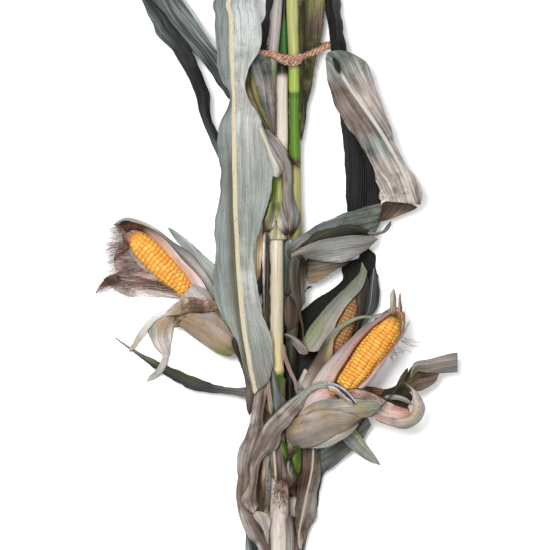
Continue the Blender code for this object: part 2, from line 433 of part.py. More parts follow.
def finish(name, bm, pile):
    """Make a bmesh in millimetres an object in metres, and add it to the pile."""
    bmesh.ops.recalc_face_normals(bm, faces=bm.faces)
    bmesh.ops.triangulate(bm, faces=bm.faces)
    pile.add(bm)
    bmesh.ops.scale(bm, verts=bm.verts, vec=(MM, MM, MM))
    mesh = bpy.data.meshes.new(name)
    bm.to_mesh(mesh)
    bm.free()
    mesh.shade_smooth()
    mesh.set_sharp_from_angle(angle=math.radians(50))
    made = bpy.data.objects.new(name, mesh)
    bpy.context.scene.collection.objects.link(made)
    return made


def grid(along, across, place):
    """A bmesh grid whose vertices go where place(u, v) says, with u and v from 0 to 1."""
    bm = bmesh.new()
    bmesh.ops.create_grid(bm, x_segments=along, y_segments=across, size=0.5)
    for vertex in bm.verts:
        vertex.co = place(vertex.co.x + 0.5, vertex.co.y + 0.5)
    return bm


def shell(bm, thickness):
    """Give a sheet its thickness, half to each side."""
    bmesh.ops.recalc_face_normals(bm, faces=bm.faces)
    bm.normal_update()
    for vertex in bm.verts:
        vertex.co += vertex.normal * (thickness / 2)
    bmesh.ops.solidify(bm, geom=bm.faces, thickness=thickness)


def tube(points, radii, sides, closed, guide):
    """A tube on a smooth line; its ends are capped, or joined where the line is a ring."""
    last = len(points) - 1
    steps = round(last * CELLS_PER_ROW) if closed else last

    def place(u, v):
        where = u * last
        centre = curve_point(points, where)
        ahead = curve_point(points, min(where + 0.05, last))
        behind = curve_point(points, max(where - 0.05, 0))
        side = (ahead - behind).cross(guide).normalized()
        over = side.cross(ahead - behind).normalized()
        radius = radii[round(where)] if not closed else radii[0]
        turn = v * math.tau
        return centre + (side * math.cos(turn) + over * math.sin(turn)) * radius

    bm = grid(steps, sides, place)
    bmesh.ops.remove_doubles(bm, verts=bm.verts, dist=0.01)
    bmesh.ops.holes_fill(bm, edges=[edge for edge in bm.edges if edge.is_boundary], sides=0)
    return bm


def build_stalk(name, colour, rows, pile):
    """A stalk or shank, as a tube with a swelling at each node."""
    points = [row[:3] for row in rows]
    radii = [row[3] for row in rows]
    bm = tube(points, radii, STALK_SIDES, False, Vector((0, 0, 1)))
    finish(name, bm, pile).data.materials.append(material(colour))


def build_rope(pile):
    """The tie, a closed ring of rope."""
    route = ROPE_ROUTE + [ROPE_ROUTE[0]]
    bm = tube(route, [ROPE_RADIUS], ROPE_SIDES, True, Vector((0, 1, 0)))
    finish("tie_rope", bm, pile).data.materials.append(material("rope"))


def ear_axes(ear):
    """An ear's base, its direction, its left side and its upper side."""
    base = Vector(ear[0])
    ahead = (Vector(ear[1]) - base).normalized()
    left = Vector((0, 0, 1)).cross(ahead).normalized()
    return base, ahead, left, ahead.cross(left)


def build_cob(name, ear, pile):
    """A cob whose kernels are bumps in its surface, in rows along it."""
    base, ahead, left, up = ear_axes(ear)
    length = (Vector(ear[1]) - Vector(ear[0])).length
    radius, rows, kernels = ear[2:]

    def place(u, v):
        swell = 1 - COB_WAIST * max(0.0, 1 - u / 0.6) ** 2
        taper = math.sqrt(max(0.05, 1 - u ** COB_TAPER))
        kernel = round(v * 2 * rows) % 2 + round(u * 2 * kernels) % 2
        reach = radius * swell * taper - KERNEL_RISE * (2 - kernel) / 2
        turn = v * math.tau
        return base + ahead * (u * length) + (left * math.sin(turn) + up * math.cos(turn)) * reach

    bm = grid(2 * kernels, 2 * rows, place)
    bmesh.ops.remove_doubles(bm, verts=bm.verts, dist=0.01)
    bmesh.ops.holes_fill(bm, edges=[edge for edge in bm.edges if edge.is_boundary], sides=0)
    finish(name, bm, pile).data.materials.append(material("kernels"))


def build_wrap(name, around, colour, rows, pile):
    """A husk or a sheath wound round an ear, or round the front stalk."""
    thickness = SHEATH_THICKNESS if around == "stalk" else LEAF_THICKNESS
    widest = max(abs(row[2] - row[1]) for row in rows)
    across = max(6, round(widest / 26))

    def place(u, v):
        distance, start, end, start_radius, end_radius = curve_wrap(rows, u * (len(rows) - 1))
        turn = math.radians(start + (end - start) * v)
        reach = start_radius + (end_radius - start_radius) * v
        if around == "stalk":
            centre = stalk_centre(distance)
            left = Vector((-1, 0, 0))
            up = Vector((0, 0, 1))
        else:
            base, ahead, left, up = ear_axes(EARS[around])
            centre = base + ahead * distance
        return centre + (left * math.sin(turn) + up * math.cos(turn)) * reach

    bm = grid(max(2, len(rows) - 1), across, place)
    shell(bm, thickness)
    finish(name, bm, pile).data.materials.append(material(colour))


def curve_wrap(rows, place):
    """The smooth row at a place between the rows of a wrap."""
    index = min(int(place), len(rows) - 2)
    part = place - index
    return [low + (high - low) * part for low, high in zip(rows[index], rows[index + 1])]


def stalk_centre(y):
    """The middle of the front stalk at a place along it."""
    points = [row[:3] for row in STALKS["stalk_front"][1]]
    for number, (start, end) in enumerate(zip(points, points[1:])):
        if end[1] <= y <= start[1]:
            return curve_point(points, number + (start[1] - y) / (start[1] - end[1]))
    raise ValueError("no stalk there")


def leaf_point(rows, u, v):
    """A point of a leaf: u runs along it, v from its left edge at 0 to its right edge at 1."""
    place = u * (len(rows) - 1)
    left, middle, right = (curve_point([row[part] for row in rows], place) for part in range(3))
    side = 2 * v - 1
    fold = (left + right) / 2 - middle
    return middle + (right - left) * (side / 2) + fold * abs(side) ** 1.5


def lifts(rows, along, across, pile):
    """How far each vertex of a leaf has to rise to lie over the pile, spread smoothly."""
    fine_along = along * LOOKS_PER_CELL
    fine_across = across * LOOKS_PER_CELL
    need = {}
    for i in range(fine_along + 1):
        for j in range(fine_across + 1):
            point = leaf_point(rows, i / fine_along, j / fine_across)
            need[i, j] = pile.top(point) + LAY_GAP - point.z
    lift = {}
    for i in range(along + 1):
        for j in range(across + 1):
            near = [
                need[a, b]
                for a in range((i - 1) * LOOKS_PER_CELL, (i + 1) * LOOKS_PER_CELL + 1)
                for b in range((j - 1) * LOOKS_PER_CELL, (j + 1) * LOOKS_PER_CELL + 1)
                if (a, b) in need]
            lift[i, j] = max(0.0, *near)
    least = dict(lift)
    for _ in range(SPREADING_ROUNDS):
        spread = {}
        for (i, j), value in lift.items():
            beside = [lift[p] for p in ((i - 1, j), (i + 1, j), (i, j - 1), (i, j + 1)) if p in lift]
            spread[i, j] = max(least[i, j], (value + sum(beside)) / (1 + len(beside)))
        lift = spread
    return lift


def build_blade(name, colour, across, rows, pile):
    """A leaf or a loose husk, laid over the pile."""
    along = round((len(rows) - 1) * CELLS_PER_ROW)
    lift = lifts(rows, along, across, pile)

    def place(u, v):
        rise = lift[round(u * along), round(v * across)]
        return leaf_point(rows, u, v) + Vector((0, 0, rise))

    bm = grid(along, across, place)
    shell(bm, LEAF_THICKNESS)
    finish(name, bm, pile).data.materials.append(material(colour))


def main():
    for old in list(bpy.data.objects):
        bpy.data.objects.remove(old)
    pile = Pile()
    for name, colour, across, rows in LOWEST_BLADES:
        build_blade(name, colour, across, rows, pile)
    for name, (colour, rows) in STALKS.items():
        build_stalk(name, colour, rows, pile)
    for name, ear in EARS.items():
        build_cob("cob_" + name, ear, pile)
    for name, (around, colour, rows) in WRAPS.items():
        build_wrap(name, around, colour, rows, pile)
    for name, colour, across, rows in BLADES_UNDER_TIE:
        build_blade(name, colour, across, rows, pile)
    build_rope(pile)
    for name, colour, across, rows in BLADES:
        build_blade(name, colour, across, rows, pile)


main()
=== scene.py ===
"""The looks of a tied bundle of dry corn stalks with three ears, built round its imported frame.

Each leaf, husk and sheath is a sheet set out in rows, in millimetres, then pleated, rippled and laid over the
pieces under it. The stalks, the rope's yarns and the silk are tubes, and each cob is set with single kernels.
"""

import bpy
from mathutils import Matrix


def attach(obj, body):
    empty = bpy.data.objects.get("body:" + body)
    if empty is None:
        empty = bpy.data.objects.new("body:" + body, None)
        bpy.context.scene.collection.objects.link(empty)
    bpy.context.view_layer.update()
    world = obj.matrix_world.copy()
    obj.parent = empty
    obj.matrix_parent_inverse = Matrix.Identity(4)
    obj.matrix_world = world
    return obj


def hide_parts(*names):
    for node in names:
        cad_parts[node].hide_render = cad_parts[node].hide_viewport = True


bl_info = {
    "name": "Tied Corn Stalks",
    "version": (1, 0, 0),
    "blender": (4, 5, 0),
    "location": "View3D > Sidebar > Corn Stalks",
    "description": "Builds a tied bundle of dry corn stalks with ears, husks, silk and a coir tie",
    "category": "Add Mesh",
}

import math

import bmesh
import bpy
import numpy as np
from bpy.props import FloatProperty, FloatVectorProperty, IntProperty, PointerProperty
from bpy.types import Operator, Panel, PropertyGroup
from mathutils import Matrix, Vector

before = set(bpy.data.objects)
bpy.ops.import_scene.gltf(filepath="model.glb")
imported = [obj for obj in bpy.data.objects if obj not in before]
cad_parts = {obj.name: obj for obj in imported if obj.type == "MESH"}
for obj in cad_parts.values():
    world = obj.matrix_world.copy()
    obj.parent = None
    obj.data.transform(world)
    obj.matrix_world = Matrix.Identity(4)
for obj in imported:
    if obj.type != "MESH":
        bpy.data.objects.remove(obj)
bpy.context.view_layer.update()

MM = 0.001
PER_MM = 1 / MM
DEGREES_IN_RADIAN = 57.3

# The index of refraction of dry leaves, cane and kernels.
PLANT_IOR = 1.45

# The lens and the sensor are in millimetres. The view is so many metres wide at the bundle's middle height.
LENS = 300.0
SENSOR = 36.0
VIEW_WIDTH = 0.77
MIDDLE_HEIGHT = 0.035
FLOOR_SIZE = 4.0
SKY_STRENGTH = 0.7

# Each lamp's place and width, in metres, and its power, in watts.
LAMPS = {"key": ((-0.5, 0.5, 2.2), 0.9, 60.0), "fill": ((1.4, -0.9, 2.2), 1.8, 10.0)}

# Lengths in millimetres: the bundle's ends, the least height of a sheet and of a hair over the floor, and
# the length of the cells of a sheet, a stalk, a yarn and a hair.
BUNDLE_TOP = 478.0
BUNDLE_BOTTOM = -478.0
FLOOR_GAP = 0.7
HAIR_GAP = 0.4
SHEET_STEP = 2.6
STALK_STEP = 3.0
YARN_STEP = 2.0
HAIR_STEP = 2.5

# How many sides each kind of tube has.
STALK_SIDES = 28
COB_SIDES = 32
YARN_SIDES = 10
HAIR_SIDES = 3

# How often the tie's yarns wind round each other, on the way round and in the end, and how many of their
# radii they lie off the middle.
ROPE_TURNS = 16
ROPE_END_TURNS = 4
YARN_OFFSET = 1.08

# The fuzz's hairs, and the place on the rope's route where the front of it ends.
FUZZ_HAIRS = 220
ROPE_FRONT_END = 13

# The size in millimetres of the patches in which the colour of coir and of silk changes.
COIR_PATCH = 3.0
SILK_PATCH = 12.0

# How many waves a random swing is made of.
WAVES = 7

# How square a cob's tip is, and the share of its length where its kernels end.
COB_TAPER = 7.0
LAST_KERNEL = 0.975

# A stalk is its slot, its middle line from its top end to its bottom end, as x,y,z,radius, and its colours,
# each with its height up the bundle. All lengths in these tables are in millimetres.
STALKS = {
    "stalk_front": ("stalk", """
    13,478,15,7.2 13,385,16,7.4 13,315,19,7.5 10.5,285,27,7.6 10,240,28,7.7 10,180,30,7.7 3,140,30,8
    3,80,30,8.2 2,58,29,9.6 2,0,28,10.2 1,-80,28,10.4 2,-126,28,10.2 2,-134,28,11.4 2,-142,28,10
    4,-200,28,9.8 5,-280,28,9.8 5.5,-292,28,12.4 6,-304,28,12.4 6,-385,28,13 6,-478,28,13""",
        # The ink from 306 down to 288 is painted shadow under the tie, which crosses the stalk there.
        "478 ink, 372 ink, 355 green_deep, 318 green_deep, 306 ink, 288 ink, 280 husk_pale, 190 cream, "
        "140 sheath_yellow, 62 brown, 52 cream, 0 rib, -70 rib, -105 straw_yellow, -128 straw_yellow, "
        "-136 green, -165 green, -200 olive, -285 cream, -330 husk_pale, -478 cream"),
    "stalk_green": ("green", """
    24,478,31,8.2 24,385,31,8.3 27,315,28,8.4 27.5,266,28,8.3 28,258,28,9.2 28,250,28,7.8 28,200,28,7.6
    29,100,27,7.6 29,30,26,7.8 26,-40,23,8 23,-110,19,8 21,-170,14.5,8 24,-250,12,8 28,-330,12,8
    29,-478,12,8""",
        "478 khaki, 305 khaki, 285 lime, 262 lime, 257 green_deep, 250 green, 170 green, 162 brown, "
        "148 sheath_yellow, 50 olive, -120 ink, -200 ink, -236 green, -280 green, -290 ink, -306 ink, "
        "-312 husk_pale, -345 mauve_pale, -360 mauve, -478 mauve_pale"),
    "stalk_rear": ("stalk", """
    4,478,31,7.2 3,385,31,7.4 -2.5,315,28,7.4 -5.8,285,25,7.2 -4,262,18,7 0,240,12.5,6.8 5,190,9.5,6.8
    9,80,8.5,7 8,-40,8,7 3,-110,7.8,7 0,-180,7.8,6.8 2,-290,7.4,6.2 4,-454,7.2,6.2""",
        "478 silver, 385 silver, 355 mauve_pale, 325 silver, 290 sage_green, 270 straw_yellow, 0 olive, "
        "-478 tan"),
    "shank_left": ("sheath", """
    -13,-112,26,5.5 -36,-92,27,5.8 -62,-72,30,6.2 -70,-64,31,6.4""",
        "478 sheath_yellow, -478 sheath_yellow"),
    "shank_right": ("sheath", """
    20,-236,31,5.6 36,-220,34,6.5 56,-202,40,7.2 70,-186,44,8""",
        "478 tan, -478 tan"),
    "shank_rear": ("sheath", """
    33,-160,18,4.6 40,-146,22,5.2 46,-134,25.5,5.6""",
        "478 husk_pale, -478 husk_pale"),
}

# An ear is the two ends of its middle line, its cob's radius, how much narrower its base is, the kernels in
# one of its rows, the colour of their crowns, and where along it the kernels begin to darken towards plum and
# how much darker they are at the tip.
EARS = {
    "left": ((-121, -24, 31), (-203, 58, 28), 19.5, 0.36, 18, "kernel", (0.92, 0.35)),
    "right": ((98, -158, 50), (173, -53, 50), 22.8, 0.2, 25, "kernel", (0.86, 1)),
    "rear": ((74, -128, 31), (124, -8, 31), 15.0, 0.36, 24, "kernel_dull", (0.52, 0.92)),
}

# A sheet is its slot, the colours of its left and its right half, what sets it apart, and its rows. The
# colours run from the first row to the last, evenly spread. Of the rest, "meet" is the share of the width
# over which the halves blend, "rib" the midrib's colour and width, "rib_from" the share of the length where
# it begins, "edge" the colour of the margins and the shares of the width that they take, "blotch" a second
# colour and how much of the sheet it takes, "furrow" a dark colour beside the midrib, its width and its
# ends as shares of the length, "streak" how strong the fibres are, and "tone" how light the whole is.
# "pleats" is the height and the number of its long folds, "ripple" the waves of its margins and their
# length, "ragged" how far its margins wander, and "square" says that its tip is cut off. A sheet is laid
# over what is under it, unless "loose" is false or it is wound "around" an ear or the front stalk.

# What a sheet has unless its own entry says otherwise.
PLAIN_SHEET = dict(meet=0.03, tone=1.0, rib_from=-1.0, pleats=(0.8, 5), ripple=(1.5, 35), ragged=1.0,
                   square=False, loose=True, around=None)
HUSK_STREAK = 0.45
LEAF_STREAK = 0.8

# A row across a leaf is its left edge, its midrib and its right edge, as x,y,z. The leaves and loose husks
# go from the rearmost to the foremost. These lie under the stalks.
UNDERMOST = {
    # Its high tone lifts its colours to make up for the shade it lies in under the stalks: painted light.
    "leaf_under_middle": ("dark", "plum_pale olive_dark plum_pale plum plum_pale",
        "slate plum mauve olive_dark plum_pale tan",
        dict(streak=1, tone=3.6, pleats=(0.5, 3), ripple=(0.5, 60)), """
    -19,125,3.4 -12,126,4.2 -5,125,3.4  -19,90,3.4 -12,90,4.2 -4,90,3.4  -19,50,3.4 -12,50,4.2 -4,50,3.4
    -18,-60,3.4 -12,-60,4.2 -4,-60,3.4  -21,-190,3.4 -13,-190,4.2 -4,-190,3.4
    -28,-260,3.4 -17,-260,4.2 -6,-260,3.4  -28,-310,3.4 -17,-310,4.2 -6,-310,3.4
    -20,-345,3.4 -13,-346,4.2 -6,-345,3.4"""),
    "leaf_under_front": ("dark", "plum_pale olive_dark plum_pale", "olive_dark plum plum_pale",
        dict(streak=1, tone=2.8, pleats=(0.5, 3), ripple=(0.5, 60)), """
    6,305,3.4 13,306,4.2 20,305,3.4  6,160,3.4 13,160,4.2 20,160,3.4  6,0,3.4 13,0,4.2 19,0,3.4
    5,-150,3.4 12,-150,4.2 19,-150,3.4  7,-300,3.4 14,-300,4.2 21,-300,3.4
    9,-348,3.4 14,-349,4.2 19,-348,3.4"""),
    "leaf_under_base": ("dark", "slate_dark slate slate_pale", "ink slate_dark ink",
        dict(meet=0.4, tone=1.6, pleats=(0.6, 3), ripple=(0.6, 60)), """
    -41,-352,3.4 -37,-352,4.2 -30,-350,3.4  -42,-368,3.4 -37,-368,4.2 -28,-368,3.4
    -42,-384,3.4 -35,-384,4.2 -24,-382,3.4  -39,-396,3.4 -33,-397,4.2 -27,-396,3.4"""),
    "leaf_black_rear": ("dark", "ink ink ink ink", "slate_dark ink ink ink", dict(tone=1.25), """
    -2,-100,2 12,-130,4 24,-160,2  22,-65,2 40,-93,4 56,-124,2  39,-50,1 58,-72,4 80,-100,1
    62,-31,1 81,-49,4 104,-72,1  84,-17,1 105,-27,5 132,-44,1  95,-5,1 115,-9,5 144,-20,1
    93.5,9,1 118,5,4 143,0,1  100,18.5,1 121,15,4 141,12,1  117,23,1 129,22,4 141,21,2
    119.5,33,2 129,31,4 140,31,2  126,37,2 131,37.5,3 137,36,2"""),
    "leaf_cut_right": ("leaf", "brown brown olive_dark brown plum_pale",
        "brown plum plum plum_pale plum_pale", dict(tone=1.7), """
    140,-160,18 140,-164,20 141,-170,18  160,-158,26 162,-164,28 165,-170,26
    180,-146,34 184,-156,36 188,-164,34  194,-126,38 200,-146,38 204,-162,32
    213,-130,32 216,-143,34 222,-153,26  229,-134,28 230,-138,30 231,-142,26"""),
    "leaf_cut_root": ("dark", "plum brown", "ink brown", dict(tone=7), """
    60,-168,6 61,-176,8 62,-184,6  100,-156,8 102,-168,10 104,-180,8  140,-158,16 140,-164,18 141,-170,16
    158,-160,22 158,-165,22 159,-170,22"""),
    "leaf_cut_pale": ("leaf", "sage mauve_pale mauve_pale", "olive mauve_pale sage",
        dict(tone=0.8, pleats=(0.5, 3), square=True), """
    188,-146,40 190,-144,41 192,-146,40  194,-124,44 197,-128,46 199,-134,42
    212,-119,38 213,-127,42 214,-137,36  234,-113,30 235,-124,35 236,-137,28
    256,-108,22 256,-121,26 256,-136,20"""),
    "leaf_left_lower": ("dark", "slate slate_dark olive_dark sage",
        "mauve slate_dark slate_dark olive_dark", dict(tone=1.6), """
    -14,-158,18 -14,-168,20 -14,-178,18  -63,-157,17 -66,-163,19 -70,-168,17
    -95,-150,15 -104,-157,18 -112,-162,15  -130,-137,10 -134,-144,13 -137,-151,10
    -164,-122,6 -167,-127,9 -168,-132,6  -203,-102,3 -197,-109,5 -189,-116,3
    -227,-85,1 -226,-88,2 -223,-90,1"""),
    "husk_left_blade": ("leaf", "sage sage slate_pale", "sage_green sage sage slate", dict(tone=1.3), """
    -72,6,18 -84,-8,16 -96,-22,10  -88,17,16 -96,8,17 -104,-2,12  -101,28,12 -108,22,14 -115,14,8
    -111,38,8 -117,33,10 -122,29,6  -121,46.5,8 -125,43,9 -130,40,6  -135,58,5 -138,54.5,6 -141,51,4
    -150,68.5,3 -151,67,3 -151.5,65,2"""),
    "husk_left_top": ("husk", "sage husk_pale slate_pale husk_pale sage",
        "lilac slate slate slate_pale mauve",
        dict(meet=0.7, edge=("slate_dark", 0.03, 0), pleats=(0.7, 5), ripple=(1, 40), ragged=0.7), """
    -78,-34,20 -86,-38,28 -98,-44,30  -94,0,14 -103,-6,25 -112,-14,30  -119,30,10 -127,22,24 -134,14,30
    -140,44.5,9 -147,38,24 -153,32,30  -170,67,12 -173,61,27 -176,52,30  -192,78,18 -192,71,32 -192,62,32
    -210,80,22 -209,75,34 -207,68,32  -228,72,26 -226,70,28 -222,68,27"""),
    "husk_left_pink": ("husk", "lilac husk_pale pink husk_pale pink plum_pale brown brown",
        "lilac lilac pink pink pink pink brown brown",
        dict(meet=1, tone=1.28, edge=("brown", 0.05, 0), pleats=(0.4, 4), ripple=(0.8, 30), ragged=0.5,
             loose=False), """
    -88,-34,32 -98,-34,38 -108,-36,38  -98,-13,37 -106,-16,39 -114,-22,36  -111,4,42 -116,0,39 -121,-5,34
    -129,22,43 -133,18,39 -138,13,33  -148,45,43 -151,39,39 -155,34,33  -165,60,42 -167,54,39 -170,49,33
    -184,70,41 -185,65,39 -186,60,33  -203,74,39 -202,69,38 -199,63,32  -217,70,34 -214,66,36 -209,60,32
    """),
    "husk_left_veil": ("husk", "husk_pale husk_pale ice_warm", "husk_pale pink pink husk_pale",
        dict(streak=0.6, tone=1.5, pleats=(1, 6), ripple=(2, 15), ragged=3.5, square=True), """
    -156,-6,22 -161,-11,18 -166,-15,14  -176,10,26 -185,2,18 -194,-6,12  -193,27,28 -205,16,18 -219,4,10
    -202,40,30 -213,31,22 -227,20,14  -206,50,32 -212,47,28 -219,42,24"""),
    "husk_left_lower": ("husk", "tan pink husk_pale pink mauve_pale plum_pale brown",
        "husk_pale husk_pale husk_pale husk_pale husk_pale rose brown",
        dict(meet=0.8, streak=0.7, tone=1.65, blotch=("plum_pale", 0.12), pleats=(1.6, 7), ripple=(2.5, 22),
             ragged=2), """
    -112,-30,14 -118,-34,12 -124,-37,8  -135,-19,20 -140,-26,14 -146,-32,6
    -160,-7,22 -166,-19,13 -172,-31,4  -186,4,22 -192,-12,12 -198,-29,3  -208,9,18 -213,-8,12 -217,-25,3
    -226,2,14 -230,-8,10 -234,-15,4  -240,-7,8 -243,-12,7 -246,-18,4  -251,-25,3 -252,-26,3 -254,-28,2"""),
    # A dark sheet that is painted shade in the hollow of the husk at the left ear's tip.
    "husk_left_hollow": ("husk", "brown ink brown", "ink brown brown", {}, """
    -196,74,24 -198,68,22 -200,60,20  -212,75,24 -212,68,20 -210,58,18  -224,71,24 -223,68,22 -219,62,20
    """),
    "husk_left_cap": ("husk", "brown brown plum_pale plum", "plum rose plum_pale plum",
        dict(tone=1.6, pleats=(0.8, 4), ripple=(1, 10), ragged=1.5, square=True, loose=False), """
    -215,67,32 -211,63,38 -206,59,41  -214,56,27 -209,53,36 -203,50,40  -210,44,22 -206,43,32 -202,42,35
    -206,33,20 -203,33,26 -200,33,28"""),
}

# Husks and sheaths wound round an ear or the front stalk. A row is the distance along it, the start and the
# end angle, and the radius at each. 0 degrees is up, and angles grow towards the left of the way the ear
# points.
WRAPS = {
    "husk_left_cup": ("husk", "husk_pale lilac", "lilac husk_pale", dict(around="left", meet=1), """
    -50,-172,172,8,8  -38,-172,172,16,16  -18,-172,172,20,20  3,-172,172,15.4,15.4"""),
    # Its high tone lifts its colours to make up for the shade it lies in under the right ear: painted light.
    "husk_right_back": ("husk", "pink pink rose", "lilac lilac lilac",
        dict(around="right", meet=1, tone=4.2), """
    -26,-92,-268,13,13  0,-92,-268,19,19  40,-92,-268,22.8,22.8  95,-92,-268,23.2,23.2  122,-92,-268,16,16
    134,-96,-262,8,8"""),
    "husk_rear_back": ("husk", "sage sage slate", "slate_dark slate_dark ink",
        dict(around="rear", meet=1), """
    -18,-82,-278,10,10  0,-82,-276,18.2,18.2  50,-82,-276,18.6,18.6  100,-82,-276,16.5,16.5
    134,-90,-270,8,8"""),
    "sheath_green": ("sheath", "sheath_yellow khaki sage_green cream", "green green lime sheath_yellow",
        dict(around="stalk", meet=0.35, tone=1.3), """
    134,-168,168,9.6,9.6  100,-168,168,9.8,9.8  76,-168,168,10,10"""),
    "sheath_skirt": ("mauve", "green sheath_yellow sage_green khaki rib rib",
        "sage_green sage_green khaki rib rib rib", dict(around="stalk", meet=1), """
    74,-110,104,12.2,12.2  64,-112,106,13.6,13  50,-100,100,15.6,14.4"""),
    "sheath_lower": ("mauve", "mauve_pale mauve", "mauve tan", dict(around="stalk", meet=1, tone=0.7), """
    -236,-96,112,11.8,11.8  -262,-96,116,11.8,11.8  -278,-96,110,12.2,12.2"""),
}

# These lie under the tie.
UNDER_TIE = {
    "leaf_dark_top": ("dark", "ink", "ink", {}, """
    -10,450,24 -8,450,25 -6,450,24  -12,388,24 -8,388,26 -3,388,24  -13.5,364,24 -10,364,26 -6,364,24
    -20,346,23 -14,346,25 -8,346,24  -22,315,22 -17,315,24 -12,315,22  -24,262,20 -18,262,21 -13,262,20"""),
    "leaf_inner_olive": ("sheath", "tan tan olive_dark tan olive olive_dark",
        "sage_green sheath_yellow sheath_yellow olive sheath_yellow olive",
        dict(streak=1, rib=("olive_dark", 2.2)), """
    -36,318,24 -32,318,26 -29,318,24  -41,296,28 -36,297,30 -31,298,29  -42,276,32 -35,277,35 -29,279,34
    -40,252,34 -31,253,37 -21,255,36  -30,228,35 -21,229,37 -11,230,36  -16,205,35 -9,205,36 -3,205,35
    -6,192,34 -3,190,35 0,190,34"""),
    "leaf_olive_right": ("green", "ink olive_dark olive_dark olive_dark ink",
        "sage mauve sheath_yellow plum_pale olive_dark olive_dark olive_dark ink",
        dict(meet=0.35, tone=0.8, blotch=("olive", 0.12)), """
    44,466,16 52,468,18 60,466,16  36,425,22 54,428,28 70,425,22  34,385,24 48,385,30 70,385,25
    34,365,24 46,365,29 69.5,365,24  34,338,23 45,338,28 66,338,24  34,304,23 44,304,27 58,304,24
    34,275,23 41,275,26 53,275,24  34,245,23 39,245,26 47,245,24  34.5,190,23 36.5,188,24 38.6,190,23"""),
}

# The rope's middle line: across the front from left to right, then back behind the stalks.
ROPE_ROUTE = [
    (-50, 318, 20), (-42, 315, 36), (-22, 311, 42.5), (-7, 309, 43), (4, 306, 42.5), (15, 304, 41.5),
    (25, 303, 42), (36, 305, 41), (46, 308, 38), (57, 313, 37), (68, 318, 35), (77, 323, 30), (82, 325, 20),
    (76, 324, 10), (62, 322, 6), (30, 320, 6), (0, 320, 6), (-28, 320, 6), (-43, 320, 9)]

# The rope's second turn over the two front stalks.
ROPE_END = [
    (-3, 308, 36), (3, 303.5, 43), (10, 299.5, 47), (17, 297, 48), (24, 296, 48), (30, 297, 46),
    (34, 300, 42), (36, 305, 34)]

